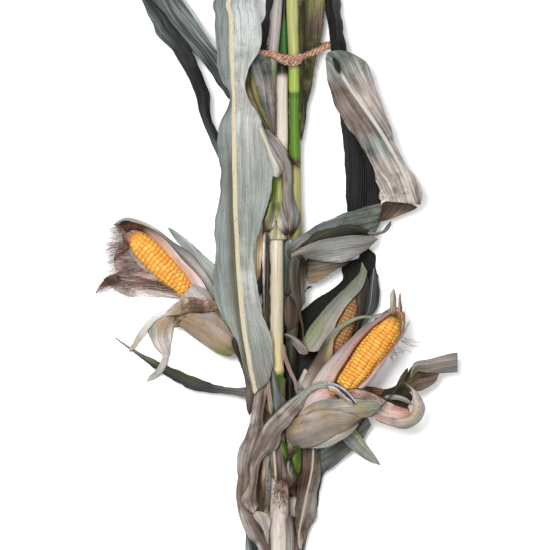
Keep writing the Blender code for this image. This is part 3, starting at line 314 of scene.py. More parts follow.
# These lie over the tie and the stalks.
OVER_TIE = {
    "leaf_dark_right": ("dark", "ink ink ink slate_dark slate_dark slate_dark slate_dark",
        "slate slate ink ink ink ink ink", dict(streak=1, tone=0.5), """
    84,462,3 87,464,4 90,462,3  70,388,20 80,388,26 91,388,20  75,350,32 86,350,37 95,350,32
    78,318,36 88,316,40 99.5,317,36  84,260,26 98,260,32 112,260,26  92,218,8 108,218,14 128,218,8
    97.5,175,2 115,175,8 138,172,2  99,130,2 116,130,7 147,126,2  101,96,2 114,94,6 149,96,2
    104,80,2 115,78,5 142,82,2"""),
    "husk_rear_right": ("husk", "slate_dark slate_dark slate_dark", "slate slate_dark slate_dark",
        dict(rib=("slate_pale", 1.2)), """
    116,-76,15 120,-76,17 126,-72,14  122,-46,13 132,-44,17 144.5,-43,11  130,-16,13 136,-12,17 145.5,-12,11
    136,8,13 139,10,14 142.5,8,12"""),
    "husk_rear_veil": ("husk", "plum plum plum_pale plum ink", "slate_dark plum ink plum slate_dark",
        dict(meet=0.9, streak=1, tone=0.8, ripple=(0.8, 30), ragged=1.6), """
    110,-84,40 114,-85,42 118,-86,38  113,-64,46 118,-65,48 124,-66,40  114,-44,47 121,-45,48 128,-46,40
    115,-28,46 122,-29,48 129,-30,40  121,-8,42 126,-9,43 131,-10,38  125,2,38 128,1,38 131,0,36"""),
    "husk_rear_front": ("husk", "sage_green sage_green sage sage_green sage",
        "husk_pale mauve_pale husk_pale sage sage_green", dict(meet=0.7, tone=0.8), """
    37,-99,34 46,-106,38 58,-112,40  44,-82,28 58,-90,40 72,-92,44  55,-65,26 68,-72,42 83,-78,47
    68,-49,24 80,-55,42 90,-58,47  86,-30,24 95,-37,40 102,-39,45  108,-9,24 114,-15,36 120,-20,40
    119,5,24 123,3,30 128.5,1,34  120,20,24 122,18,26 128,8,28"""),
    "husk_left_net": ("husk", "tan mauve_pale sage husk_pale ice_warm ice_warm",
        "tan tan husk_pale ice_warm ice_warm ice_warm",
        dict(meet=0.8, streak=0.6, tone=1.15, blotch=("tan", 0.35)), """
    -126,-38,18 -130,-48,22 -132,-60,16  -158,-53,12 -150,-58,16 -142,-63,12
    -174,-64,8 -160,-70,13 -143,-72,8  -178,-80,5 -163,-86,10 -145,-88,5
    -170,-100,3 -159,-101,7 -147,-101,3  -159,-114,2 -154,-115,4 -149,-116,2
    -166,-130,2 -162,-132,3 -156,-134,2  -176,-141,1 -172,-144,3 -167,-146,1
    -183,-148,1 -181,-150,2 -178,-151,1"""),
    "husk_left_strip": ("husk", "husk_pale ice_warm sage", "ice_warm husk_pale tan", dict(tone=1.45), """
    -140,-46,16 -142,-50,18 -144,-54,16  -153,-50,14 -154,-54,16 -155,-58,14
    -168,-57,13 -168,-61,15 -167,-65,13  -182,-66,12 -179,-69,13 -175,-72,12
    -193,-82,11 -190,-84,12 -186,-86,11  -201,-97,8 -198,-99,9 -194,-100,8
    -208,-106,6 -206,-108,6 -203,-110,6"""),
    "husk_left_fold": ("husk", "brown tan brown", "brown brown tan", dict(square=True), """
    -112,-50,36 -114,-58,38 -118,-68,30  -128,-52,34 -130,-62,36 -130,-72,24
    -140,-56,24 -141,-65,26 -142,-74,16"""),
    "husk_left_bulb": ("husk", "olive lilac lilac mauve_pale tan",
        "sheath_yellow sheath_yellow mauve_pale tan tan",
        dict(meet=1, tone=0.86, blotch=("tan", 0.35), pleats=(0.7, 7), ripple=(1.5, 30), square=True), """
    -54,-98,32 -55,-107,36 -58,-115,28  -64,-76,38 -73,-92,46 -82,-109,26  -80,-54,42 -93,-74,50 -106,-92,20
    -98,-49,44 -111,-66,48 -123,-80,16  -116,-50,42 -125,-60,42 -134,-72,16
    -124,-54,38 -130,-62,38 -136,-71,18"""),
    "husk_left_band": ("husk", "tan pink tan husk_pale lilac", "tan brown tan tan husk_pale",
        dict(meet=0.8, tone=1.25, blotch=("plum", 0.35), pleats=(1.2, 6), ripple=(1, 15), ragged=1.8), """
    -76,-36,40 -78,-43,43 -80,-50,40  -100,-32,44 -102,-42,49 -105,-52,44
    -122,-31,40 -125,-42,46 -129,-54,42  -137,-38,26 -141,-47,32 -146,-57,28
    -150,-48,18 -153,-53,20 -156,-60,16"""),
    "leaf_shade_strip": ("dark", "ink slate_dark ink", "ink ink", dict(tone=5), """
    -24,30,14 -18,30,16 -9,30,14  -26,0,13 -19,0,15 -8,0,13  -24,-20,12 -21,-21,13 -17,-22,12
    -22,-28,11 -21,-29,11 -19,-30,11"""),
    # Its high tone lifts its colours to make up for the shade of the leaf over it: painted light.
    "leaf_tan_strip": ("husk", "tan tan husk_pale tan tan", "husk_pale tan tan tan brown",
        dict(meet=1, tone=2.4), """
    -22,70,30 -19,71,32 -16,72,30  -30,50,31 -24,50,33 -17.5,50,31  -32,26,31 -25,26,33 -18,26,31
    -30,8,29 -25,8,31 -20,7,29  -27,-8,27 -25,-9,28 -23,-10,27"""),
    "leaf_lilac_strip": ("mauve", "husk_pale husk_pale husk_pale pink mauve",
        "slate_dark slate slate_dark slate_dark slate_dark", dict(meet=0.12, tone=1.7), """
    -16,60,22 -13,60,24 -10,60,22  -16.5,20,22 -14.5,20,23 -12.5,20,22  -17,-10,21 -14.5,-10,22 -12,-10,21
    -16,-50,20 -13.5,-50,21 -11,-50,20  -12,-74,20 -10.5,-75,20 -9,-74,20"""),
    "leaf_dark_strip": ("dark", "ink plum ink", "plum ink ink", dict(tone=3.2), """
    -11,56,19 -9.5,56,20 -8,56,19  -12,0,18 -10,0,19 -7.5,0,18  -12,-55,17 -9.5,-55,18 -7,-55,17
    -9,-78,17 -8,-78,17 -7,-78,17"""),
    "leaf_right_dark": ("dark", "slate sage olive_dark slate slate_dark",
        "sage olive_dark slate slate_dark sage slate", dict(streak=1.1, tone=1.15), """
    122,-194,15 129,-199,16 137,-206,15  88,-210,15 103,-224,19 119,-236,14
    56,-226,15 76,-246,20 93,-260,13  40,-250,14 52,-268,18 69,-281,10  39,-290,10 48,-305,14 61,-315,5
    40,-330,8 47,-338,10 57,-342,3  40,-360,5 43,-364,6 47,-362,3  36,-392,3 38,-394,4 41,-392,3"""),
    "leaf_right_tip": ("leaf", "sage sage_green sage", "slate_pale sage sage", {}, """
    66,-210,8 62,-218,10 58,-226,8  108,-213,9 100,-221,11 90,-229,9  130,-239,5 123,-243.5,7 112,-248,5
    149.5,-266.5,1 148.5,-267.5,1 145,-269,1"""),
    "leaf_sheath_low": ("mauve", "mauve mauve_pale mauve_pale", "olive_dark mauve tan", dict(streak=1), """
    16,-336,26 24,-337,28 31,-338,26  17,-360,26 26,-360,28 34,-360,25  17,-384,25 26,-384,27 34,-384,24
    18,-420,20 26,-420,22 33,-420,19"""),
    "leaf_right_mauve": ("mauve", "plum_pale plum_pale plum mauve mauve_pale pink",
        "olive_dark mauve mauve mauve_pale mauve pink",
        dict(tone=0.95, blotch=("plum", 0.25), rib=("straw", 2.6), pleats=(1.8, 5), ripple=(2, 40),
             ragged=1.6), """
    31,-236,26 54,-236,32 64,-236,26  31,-262,24 53,-262,30 63,-262,21  31,-283,23 50,-283,29 65,-283,18
    31,-310,22 43.5,-310,27 59,-310,14  29,-338,21 38,-338,25 58,-338,12  30,-352,20 35,-352,23 52,-350,12
    31,-366,18 33,-366,21 43,-366,14  33,-384,18 35,-384,20 38,-384,17"""),
    "leaf_foot_dark": ("dark", "slate_dark plum plum_pale mauve plum",
        "plum plum_pale mauve plum_pale plum", dict(tone=0.8), """
    -60,-86,26 -50,-84,30 -40,-82,28  -58,-104,26 -48,-104,32 -38,-104,30
    -50,-121,26 -43,-122,32 -36,-124,30  -44.5,-139,26 -38,-139,34 -30,-139,32
    -40.5,-158,26 -34,-158,36 -27,-158,34  -40,-178,26 -34,-178,34 -28,-178,32
    -39,-190,26 -35,-191,30 -31,-190,28  -37.5,-196,26 -36,-196.5,27 -34,-196,26"""),
    "leaf_base_left": ("mauve",
        "mauve mauve mauve_pale mauve mauve_pale plum_pale mauve mauve_pale lilac husk_pale lilac",
        "mauve_pale plum_pale mauve mauve_pale plum mauve plum_pale plum plum_pale plum plum_pale",
        dict(meet=0.5, tone=1.3, blotch=("plum_pale", 0.25), pleats=(2.6, 4), ripple=(2, 40), ragged=1.2),
        """
    -26,-152,38 -18,-148,40 -9,-144,38  -29,-172,36 -21,-172,41 -13,-172,37
    -34,-195,34 -25,-195,41 -16,-195,37  -39,-214,32 -28,-214,40 -15,-214,38
    -43,-229,30 -31,-229,38 -17,-229,38  -49,-242,28 -36,-242,38 -21,-242,38
    -53,-257,26 -40,-257,37 -25,-257,38  -54,-272,24 -41,-272,36 -26,-272,38
    -52,-286,22 -41,-286,34 -28,-286,37  -54,-306,20 -43,-306,32 -30,-306,36
    -53,-322,18 -42,-322,30 -27,-320,36  -50,-339,16 -37,-336,28 -20,-332,34
    -44,-354,14 -32,-350,26 -16,-345,32  -36,-370,12 -26,-366,22 -12,-360,28
    -24,-384,10 -18,-382,16 -8,-378,22  -16,-410,8 -12,-411,12 -8,-410,14  -16,-430,6 -14,-431,8 -10,-430,10
    """),
    "leaf_base_fold": ("mauve", "tan lilac mauve_pale lilac", "mauve_pale husk_pale mauve_pale mauve",
        dict(tone=1.25, square=True), """
    -35,-331,38 -25,-330,41 -12,-330,40  -28,-341,37 -18,-340,41 -5.5,-341,40
    -21,-351,35 -14,-351,39 -7,-352,38  -15,-363,32 -11,-363,35 -8,-363,34
    -10.5,-376,28 -9.5,-376.5,29 -8.5,-376,28"""),
    "leaf_dark_cane": ("dark", "slate slate_dark slate_dark", "sage slate slate_dark", dict(tone=1.4), """
    13,48,34 20,50,38 28,50,36  13,20,33 20,20,37 27,20,35  12.5,-8,32 19,-8,35 26,-8,33
    13,-28,30 17,-28,32 23,-28,30"""),
    "leaf_brown": ("mauve", "plum_pale plum_pale", "plum plum_pale", dict(tone=0.62), """
    14,-30,34 20,-28,36 25,-31,34  13,-46,34 22,-46,39 33,-48,34  13,-64,34 22,-64,38 32.5,-65,33
    14,-77,33 20,-77,35 26,-75,32"""),
    "leaf_curled": ("mauve", "sage slate_pale mauve_pale mauve_pale tan",
        "slate slate_dark mauve_pale mauve_pale pink", dict(tone=0.7), """
    13,-80,36 13,-83,38 13,-86,36  24,-84,38 22,-88,41 20,-92,38  34,-91,38 31,-96,42 28,-101,38
    45,-101,38 41,-105,42 35,-111,38  50,-106,37 46,-110,40 41,-117,38"""),
    "leaf_twig": ("husk", "husk_pale tan pink tan", "tan pink husk_pale tan", dict(tone=0.7), """
    10.5,-97,40 12,-97,41 13.5,-97,40  12,-115,40 14.5,-115,42 17,-115,40  18,-133,40 21,-133,42 24,-133,40
    26,-151,42 29,-151,44 32,-151,42  28,-166,46 30,-167,47 33,-166,46"""),
    "leaf_shell_inner": ("mauve", "plum mauve plum_pale plum", "tan tan mauve plum",
        dict(meet=0.8, tone=0.7), """
    38,22,30 40,6,32 42,-14,30  52,22,30 54,8,34 58,-9,30  72,22,32 74,12,35 76,1,31
    92,22,32 92,16,34 92,10,31  104,20,31 104,18,31 103,15,31"""),
    "leaf_cross": ("leaf", "slate sage slate_pale sage slate_pale sage sage",
        "slate slate_dark slate slate_pale slate sage slate",
        dict(tone=0.62, blotch=("olive_dark", 0.2), pleats=(1.4, 6), ripple=(2.5, 35), ragged=1.4), """
    14,34,40 18,26,42 24,14,38  24,48,40 30,36,44 38,22,40  38,58,40 44,48,44 52,34,40
    61,71,38 66,58,44 72,44,38  92,85,34 96,68,42 100,50,34  121,94,28 124,76,36 127,52,28
    147,100,22 145,80,28 140,58,22  155,92,18 152,82,20 146,68,18"""),
    "leaf_cross_shade": ("dark", "slate_dark olive_dark slate_dark olive_dark slate_dark",
        "ink olive_dark slate_dark ink slate_dark",
        dict(meet=0.5, pleats=(1, 4), ripple=(1.5, 30), ragged=1.4), """
    44,44,43 46,40,44 48,37,41  56,58,43 60,51,46 64,45,41  76,66,42 80,59,46 84,50,40
    98,71,42 100,64,45 103,54,38  116,68,38 118,62,40 120,55,34  138,59,28 139,57,29 140,55,27"""),
    "leaf_stub": ("dark", "plum slate_dark plum", "plum_pale slate_dark plum_pale",
        dict(pleats=(0.5, 2), ripple=(0.5, 20), ragged=0.8), """
    38,-30,14 41,-27,15 43,-23,14  42,-22,14 44,-20,15 46,-17,14  48,-19,14 50,-17,15 51,-15.5,14
    51,-18,14 52,-17,14 52.5,-16,14"""),
    "leaf_cross_hook": ("leaf", "slate mauve slate_dark", "slate mauve slate", dict(tone=1.3), """
    128,62,30 130,58,31 132,54,30  142,60,27 142,57.5,28 142,55,27  151,63,24 153,61,25 155,60,24
    158,71,21 160,70,22 162,69,21  162,76,20 163,76,20 164,75,20"""),
    "leaf_grey_shell": ("leaf", "tan silver silver silver mauve_pale", "mauve silver ice_warm silver mauve",
        dict(meet=0.5, streak=0.5, tone=0.8, edge=("husk_pale", 0.07, 0), pleats=(0.6, 5), ripple=(1, 30),
             ragged=0.6), """
    19,26,46 24,24,50 34,20,42  34,36,44 38,32,52 46,22,42  53,45,42 57,38,54 66,19,40
    79,52,40 82,42,54 86,18,38  108,55,40 106,46,50 102,20,38  132,55,38 129,48,44 124,33,36
    146,52,34 144,50,36 140,44,34"""),
    "leaf_twist_inner": ("dark", "olive_dark olive_dark plum", "ink olive_dark mauve plum_pale",
        dict(tone=0.72), """
    28,26,42 36,28,44 44,24,42  28,6,42 36,6,43 43,4,42  30,-16,41 36,-16,42 43,-16,41
    32,-38,38 37,-38,39 42,-38,38  34,-46,36 37,-47,37 40,-46,36"""),
    "leaf_twist": ("leaf", "mauve_pale tan mauve_pale tan tan", "mauve_pale mauve mauve plum_pale tan",
        dict(tone=0.3), """
    21,28,48 29,27,52 36,24,48  19,8,46 25,8,50 31,6,46  20,-14,44 26,-14,48 33,-14,44
    26,-34,40 30,-34,43 36,-34,40  33,-52,38 34.5,-52,40 36,-52,38  38,-74,37 39,-74,38 40,-74,37
    38.5,-96,38 39.5,-97,39 40.5,-96,38"""),
    "leaf_left_upper": ("leaf", "slate_dark slate_dark slate slate slate_pale slate",
        "slate slate slate_pale slate slate",
        dict(streak=1.3, tone=1.1, edge=("ice", 0, 0.07), rib=("slate_dark", 2), pleats=(1, 6),
             ripple=(2.5, 60)), """
    -30,214,28 -25,206,31 -20,198,28  -66,248,42 -60,254,44 -52,260,42  -98,293,42 -88,298,48 -72,302,44
    -119,316,34 -102,318,42 -84,320,40  -140,334,24 -121,340,36 -101,346,34
    -163,360,14 -141,366,28 -118,372,26  -181,386,8 -155,390,22 -130,392,20
    -206,426,2 -184,434,10 -158,440,8  -226,468,1 -222,471,2 -217,473,1"""),
    "leaf_left_dark": ("dark", "slate_dark slate ink slate_dark slate slate_dark",
        "ink ink slate_dark ink slate_dark slate_dark ink",
        dict(streak=1.2, pleats=(0.8, 4), ripple=(2, 50), ragged=0.8), """
    -22,120,24 -20,126,26 -17,132,25  -62,136,40 -58,146,42 -54,156,40  -89,186,38 -84,190,41 -78,196,38
    -104,221,34 -98,222,38 -90,222,34  -110,250,32 -102,251,38 -91,250,34
    -118,270,30 -109,272,36 -99,272,32  -131,292,26 -121,296,33 -109,298,30
    -144,316,22 -132,318,30 -120,320,28  -165,336,16 -154,342,24 -140,347,22
    -172,354,12 -164,360,20 -154,366,16  -187,385,5 -182,387,9 -175,388,6  -200,430,1 -198,431,2 -195,431,1
    """),
    "leaf_inner_grey": ("mauve", "slate slate_pale mauve_pale slate mauve plum_pale",
        "slate_pale slate mauve_pale mauve_pale mauve plum",
        dict(streak=1, tone=0.84, blotch=("slate_dark", 0.2), pleats=(1.4, 4), ripple=(1.5, 25),
             ragged=0.8), """
    -34,306,46 -22,308,48 -8,308,47  -33,290,47 -20,290,49 -6,290,47  -27,266,46 -13,266,48 -2,266,45
    -19,242,44 -9,242,46 0,242,43  -11,218,42 -5,218,43 0,218,42  -3,192,40 -1.5,191,40 0,190,40"""),
    "leaf_grey_wrap": ("mauve", "mauve_pale lilac mauve_pale mauve mauve_pale mauve tan",
        "slate_pale mauve_pale mauve_pale slate_pale mauve slate_pale brown",
        dict(pleats=(1.2, 3), ripple=(1.5, 25), ragged=0.8), """
    -18,203,46 -16,204,47 -14,206,46  -10,186,47 -5,190,49 -1,194,47  -2,168,46 7,174,49 13,179,46
    5,152,45 14,158,48 22,161,44  11,138,43 17,139,46 24,140,42  11,118,42 18,118,46 24,118,41
    11,98,42 20,98,46 29,98,40  11,84,42 22,83,46 35.5,82,39  11,68,41 21,67,45 31,66,39
    14,55,41 19,54,44 25,53,40"""),
    "leaf_green_mid": ("green", "green green olive", "green olive green", dict(tone=0.55), """
    -4,-140,41 5,-140,43 14,-140,40  -10,-165,40 2,-165,42 14,-165,40  -12,-196,40 -4,-198,42 6,-194,40"""),
    "husk_right_outer": ("husk", "husk_pale plum_pale olive_dark sage sage sage",
        "tan plum_pale tan olive sage_green mauve_pale", dict(meet=0.6), """
    34,-158,44 44,-162,48 56,-166,48  46,-132,42 56,-134,50 68,-137,52  60,-108,44 70,-111,52 79,-113,54
    76,-84,46 80,-86,52 84,-88,53  96,-66,46 98,-68.5,52 100,-71,52  118,-57.5,46 119,-59.5,52 120,-61.5,52
    138,-57,48 138.5,-58.5,51 139,-60.5,51  151,-52,48 151.5,-53,50 152,-54.5,50"""),
    "husk_right_margin": ("husk", "pink pink rose brown", "pink pink pink rose", dict(meet=1), """
    108,-163,44 115,-163,50 123,-159,44  125,-147,46 131,-149,52 138,-143,46
    146,-123,48 150,-123,53 153.5,-120.5,48  161,-104,48 164,-104,53 166,-102,48
    173,-85,48 176,-85,52 178,-83,48  177,-67,50 180,-66,52 181.5,-65,50"""),
    # Its rust right margin beside the kernels is partly stain and partly painted shade where the husk meets
    # them.
    "husk_right_inner": ("husk", "husk_pale husk_pale lilac mauve_pale lilac mauve_pale",
        "tan pink pink rose rose brown",
        dict(meet=0.9, streak=0.4, edge=("rust", 0, 0.13), pleats=(0.6, 5), ripple=(0.8, 40), ragged=0.6),
        """
    40,-170,50 60,-170,58 80,-160,60  64,-132,52 76,-136,64 87.5,-141.5,64
    86,-107,52 94,-111,66 101,-119,65  106,-88,52 111,-91,66 116,-96,65  125,-71,52 129,-73.5,64 133,-76,64
    146,-59,54 149,-60,62 152,-62,62  164,-50,56 166,-51,58 168,-52,58"""),
    "husk_right_tip": ("husk", "pink rose tan plum_pale", "husk_pale rose plum_pale rose",
        dict(meet=0.8, tone=1.4), """
    163,-50,60 164,-48.5,61 165,-47,60  170,-50.5,64 172,-48.5,65 173.5,-46.5,60
    175,-57,62 177,-56,63 179.5,-54.5,56  177,-68,58 179,-68,58 181.5,-67.5,52
    174.5,-80,54 176.5,-80.5,54 178.5,-81,50"""),
    "husk_right_finger": ("husk", "tan cream cream", "tan mauve_pale tan", dict(tone=0.82), """
    159,-54,58 164,-54,63 169,-54,58  160,-38,54 165,-38,58 169.5,-38,54  161,-26,53 165.5,-26,56 169,-26,53
    163,-19,52 166,-19,53 168,-19,52"""),
    "husk_right_hook": ("husk", "tan mauve_pale", "brown tan", {}, """
    171,-52,58 174,-52,62 177,-52,58  171.5,-40,55 174,-40,58 177,-40,55
    172.5,-30,54 174.5,-30,55 176.5,-30,54  174,-24,54 175,-23.5,54 176,-24,54"""),
    "husk_right_dark": ("dark", "ink ink", "brown ink", dict(tone=3), """
    146,-164,28 148,-176,28 150,-190,28  166,-158,28 168,-176,28 170,-194,28
    182,-156,30 184,-172,28 184,-188,28  192,-162,30 193,-172,30 193,-182,30"""),
    "husk_right_strap": ("husk", "sage husk_pale", "husk_pale mauve", dict(tone=0.76), """
    150,-168,52 153,-171,54 155,-174,52  168,-168,50 170,-171,53 171,-175,50
    182,-172,50 183,-175,53 184,-179,50  192,-178,50 192,-181,51 192,-184,50"""),
    "husk_right_trough": ("husk", "rust pink husk_pale pink rose",
        "pink husk_pale husk_pale husk_pale pink",
        dict(meet=1, streak=0.5, tone=1.25, blotch=("rose", 0.12), edge=("brown", 0.08, 0), pleats=(0.7, 4),
             ripple=(1.2, 20), ragged=1.5), """
    96,-158,46 98,-168,42 100,-182,50  116,-157,52 116,-172,44 118,-192,52
    138,-164,54 136,-182,44 136,-200,52  156,-175,52 152,-192,44 152,-207,50
    176,-184,50 170,-197,44 168,-211,48  194,-184,50 188,-198,46 184,-208,48"""),
    "leaf_cut_stem": ("leaf", "plum_pale brown plum_pale", "brown plum_pale plum", {}, """
    142,-190,56 147,-186,60 151,-182,58  162,-167,54 165,-164,58 168,-161,54
    173,-148,50 177,-146,53 181,-144,50  181,-131,46 185,-130,48 189,-132,46"""),
    "husk_right_loop": ("husk", "mauve husk_pale tan husk_pale pink",
        "cream husk_pale silver silver pink tan",
        dict(meet=1, blotch=("mauve", 0.2), pleats=(0.7, 4), ripple=(1, 20), ragged=0.8), """
    178,-148,60 179,-149,60 180,-150,60  190,-159,58 193,-160,60 197,-162,56
    192,-172,56 199,-172,61 206,-174,54  193,-186,54 202,-187,60 210,-187,50
    187,-196,50 195,-200,58 203,-204,46  176,-199,48 180,-207,54 184,-214,44
    160,-200,50 160,-206,52 160,-210,46  138,-192,52 138,-196,54 138,-201,50"""),
    "husk_right_crown": ("husk", "tan mauve_pale husk_pale pink", "tan husk_pale husk_pale pink rose",
        dict(meet=1, streak=0.25, pleats=(0.5, 4), ripple=(0.8, 30), ragged=0.8, square=True), """
    20,-203,50 24,-208,50 28,-214,46  26,-184,54 38,-192,58 50,-200,50  36,-163,56 54,-178,64 72,-194,56
    56,-152,56 70,-164,64 84,-180,58  74,-153,52 80,-160,56 88,-172,54"""),
    "husk_right_gap": ("kernels", "rose kernel kernel_side", "kernel kernel kernel",
        dict(streak=0.3, blotch=("kernel_side", 0.4), pleats=(1.6, 4), ripple=(1.5, 8), ragged=1.2), """
    73,-156,54 74,-160,56 75,-165,54  82,-157,54 82,-162,57 83,-168,54  90,-160,54 90,-164,56 90,-168,54
    """),
    "husk_right_flap": ("husk", "husk_pale tan sage husk_pale sage_green sage",
        "plum mauve tan mauve_pale tan sage",
        dict(meet=1, streak=0.5, tone=0.85, pleats=(0.9, 5), ripple=(1.2, 30)), """
    30,-196,58 34,-208,60 40,-224,50  56,-178,64 60,-192,68 62,-210,58  84,-173,66 86,-187,69 88,-206,58
    112,-172,66 112,-186,68 112,-202,56  134,-175,66 132,-185,66 128,-198,56
    150,-178,64 148,-183,64 141,-194,58"""),
    "husk_right_crescent": ("husk", "tan husk_pale cream ice_warm", "ice_warm ice_warm husk_pale sage",
        dict(streak=0.3, tone=0.75), """
    36,-232,44 38,-236,44 40,-241,42  58,-230,44 60,-236,44 62,-243,40  82,-222,46 84,-228,46 86,-236,40
    104,-211,48 106,-215,48 108,-220,44  116,-207,48 117,-208,48 118,-209,46"""),
    "husk_right_bulb": ("husk", "plum_pale tan husk_pale tan husk_pale tan",
        "mauve mauve_pale mauve_pale mauve_pale tan brown",
        dict(meet=1, streak=0.3, tone=0.72, blotch=("mauve", 0.2), pleats=(0.6, 5), ripple=(1, 40),
             ragged=0.6), """
    12,-213,52 15,-226,54 19,-239,46  30,-199,56 33,-220,64 38,-242,44  52,-191,60 56,-212,68 60,-238,42
    76,-187,64 79,-204,68 82,-225,46  100,-192,62 101,-202,64 102,-215,50
    119,-199,58 119,-202,58 119,-206,54"""),
    "leaf_low_grey": ("leaf", "sheath_yellow sage sage sage", "sage slate_pale sage slate_pale",
        dict(tone=0.6), """
    -5.5,-128,44 -3,-130,45 0,-132,44  -4.5,-146,43 0,-148,46 4,-150,43  -3.5,-162,42 3,-164,46 9,-166,42
    -3,-176,41 5,-177,45 16,-176,40  -1,-192,40 3,-192,42 8,-188,40"""),
    "leaf_pink_strip": ("mauve", "pink tan pink mauve_pale", "husk_pale pink mauve_pale plum_pale", {}, """
    -12.5,-142,42 -10,-142,43 -8,-142,42  -11,-160,42 -8.5,-160,43 -6,-160,42
    -8.5,-180,42 -6,-180,43 -3.5,-180,42  -6,-196,42 -4,-196,43 -2,-196,42"""),
    "leaf_low_blue": ("leaf", "sage mauve tan plum_pale plum olive_dark",
        "slate_pale ice_warm slate_pale slate_pale mauve ink", dict(meet=0.3), """
    -15,-244,36 -11,-245,38 -7,-245,37  -17,-262,36 -12,-262,39 -7,-262,37
    -19,-285,36 -13,-285,39 -6.5,-285,37  -19,-310,35 -13,-310,38 -7,-310,36
    -20,-330,33 -17,-331,34 -12,-329,34"""),
    "leaf_foot_sheath": ("mauve", "mauve plum_pale mauve plum", "sage olive_dark mauve plum_pale",
        dict(streak=1.1), """
    2,-243,40 7,-243,42 12,-244,40  4,-262,40 13,-262,43 21,-262,39  6,-280,40 17,-281,43 27,-279,38
    12,-294,38 21,-296,40 30,-291,36"""),
    "husk_foot_point": ("husk", "plum_pale sage tan slate", "brown olive_dark sage slate",
        dict(tone=0.8), """
    21,-252,44 22,-253,45 23,-254,44  17,-262,44 20,-263,46 24,-263,44  17,-272,43 20,-273,45 24,-274,42
    22,-288,41 24,-289,42 27,-289,40"""),
    "leaf_foot_green": ("green", "green lime green green", "green green lime green",
        dict(meet=0.8, streak=0.5, tone=0.55, pleats=(0.8, 4), ripple=(0.6, 60), ragged=0.5), """
    28,-238,38 32,-238,39 36.5,-238,38  24,-254,38 30,-255,40 37,-255,38  26,-266,38 31,-267,39 36,-267,38
    31,-279,37 32,-280,37 33.5,-279,37"""),
    "leaf_foot_shoot": ("green", "green lime green", "green green",
        dict(meet=0.8, streak=0.5, tone=0.5, pleats=(0.5, 4), ripple=(0.5, 60), ragged=0.4), """
    7,-231,40 11,-232,41 16,-233,40  9,-245,40 13,-246,41 18,-247,40  14,-258,39 15,-259,40 16.5,-259,39
    """),
    "husk_foot_vee": ("husk", "tan plum_pale plum", "tan plum_pale brown", dict(tone=0.8), """
    16,-233,44 20,-235,45 27,-238,44  17.5,-246,44 20.5,-247,46 24,-246,44  19,-254,44 20,-255,45 21,-254,44
    """),
    "leaf_foot_stem": ("dark", "plum brown plum", "plum_pale brown",
        dict(pleats=(0.3, 2), ripple=(0.8, 12), ragged=0.3), """
    32,-240,46 33,-241,47 34,-241.5,46  23.4,-250,46 24.4,-251,47 25.4,-252,46
    15,-259,45 16,-260.5,46 17,-261,45"""),
    "leaf_foot_point": ("mauve", "slate mauve plum_pale mauve", "plum_pale mauve plum_pale brown",
        dict(tone=0.85, rib=("straw", 3)), """
    -10,-243,40 -2,-243,43 5,-243,42  -8,-260,40 -0.5,-260,43 8,-260,42  -7,-276,40 0.5,-276,43 10,-277,42
    -6,-287,40 1,-288,42 13,-294,40"""),
    # Its dark plum left margin is painted shade along the fold where it lies over leaf_base_left.
    "leaf_wrap": ("mauve",
        "ice ice ice slate_pale sage mauve_pale mauve_pale mauve mauve mauve_pale mauve mauve_pale "
        "mauve_pale",
        "slate_dark slate_dark slate sage mauve_pale mauve mauve_pale mauve mauve mauve_pale mauve "
        "plum_pale mauve mauve_pale",
        dict(meet=0.25, tone=1.2, blotch=("plum_pale", 0.25), edge=("plum", 0.04, 0), pleats=(2.4, 4),
             ripple=(1.5, 30), ragged=0.8), """
    115,-178,72 113.5,-179.5,73 112,-181,72  98,-159,74 95.5,-161,76 92.5,-163.5,75
    82,-150.5,73 80,-153,76 77.5,-156.5,74  65,-148,69 63.5,-152,72 61.5,-156.5,71
    50,-153,64 48,-158,69 47,-167,66  30,-167,58 33,-176,64 38,-184,62  14,-179,54 22,-188,62 31,-193,58
    -1,-193,50 8,-202,58 20,-209,54  -13,-205,48 -3,-213,56 9,-219,52  -22,-219,46 -9,-225,54 7,-232,50
    -29,-237,44 -16,-241,51 2,-244,48  -33,-254,42 -24,-254,48 -13,-252,46
    -35.5,-270,40 -29,-270,46 -22,-266,44  -34,-286,39 -30,-286,44 -25,-285,42
    -41,-302,38 -34,-302,42 -27,-302,40  -48,-313,37 -37,-314,41 -26.5,-314,40
    -42,-325,37 -33,-325,41 -25,-326,40  -35,-333,38 -30,-333,40 -25,-332,39"""),
    "leaf_wrap_ribbon": ("mauve", "husk_pale pink husk_pale mauve", "husk_pale husk_pale tan husk_pale",
        dict(tone=1.25), """
    75,-152.5,70 74,-154.5,71 73,-157,70  88.5,-160,73 87,-162,75 85.5,-164,73
    99.5,-170,72 98.5,-172,74 97,-174,72  111,-180.3,72 110.5,-181,72 110,-182,72"""),
    "leaf_hanging_flap": ("mauve", "slate_dark plum plum plum", "plum plum_pale tan plum_pale",
        dict(meet=0.9, tone=0.8, pleats=(1, 4), ripple=(1, 35), ragged=0.6, square=True), """
    149,107,36 176,104,39 204,98,38  150,95,33 170,93,36 194,91.5,34  147,85,30 161,83,31 178,85,30
    144,76,27 151,75.5,28 160,78,27"""),
    "leaf_hanging": ("mauve", "slate sage plum_pale mauve mauve slate_pale mauve_pale husk_pale husk_pale",
        "slate sage mauve_pale husk_pale mauve_pale husk_pale lilac husk_pale mauve_pale",
        dict(streak=1, tone=1.15, blotch=("plum_pale", 0.2), rib=("ice_warm", 4), rib_from=0.14,
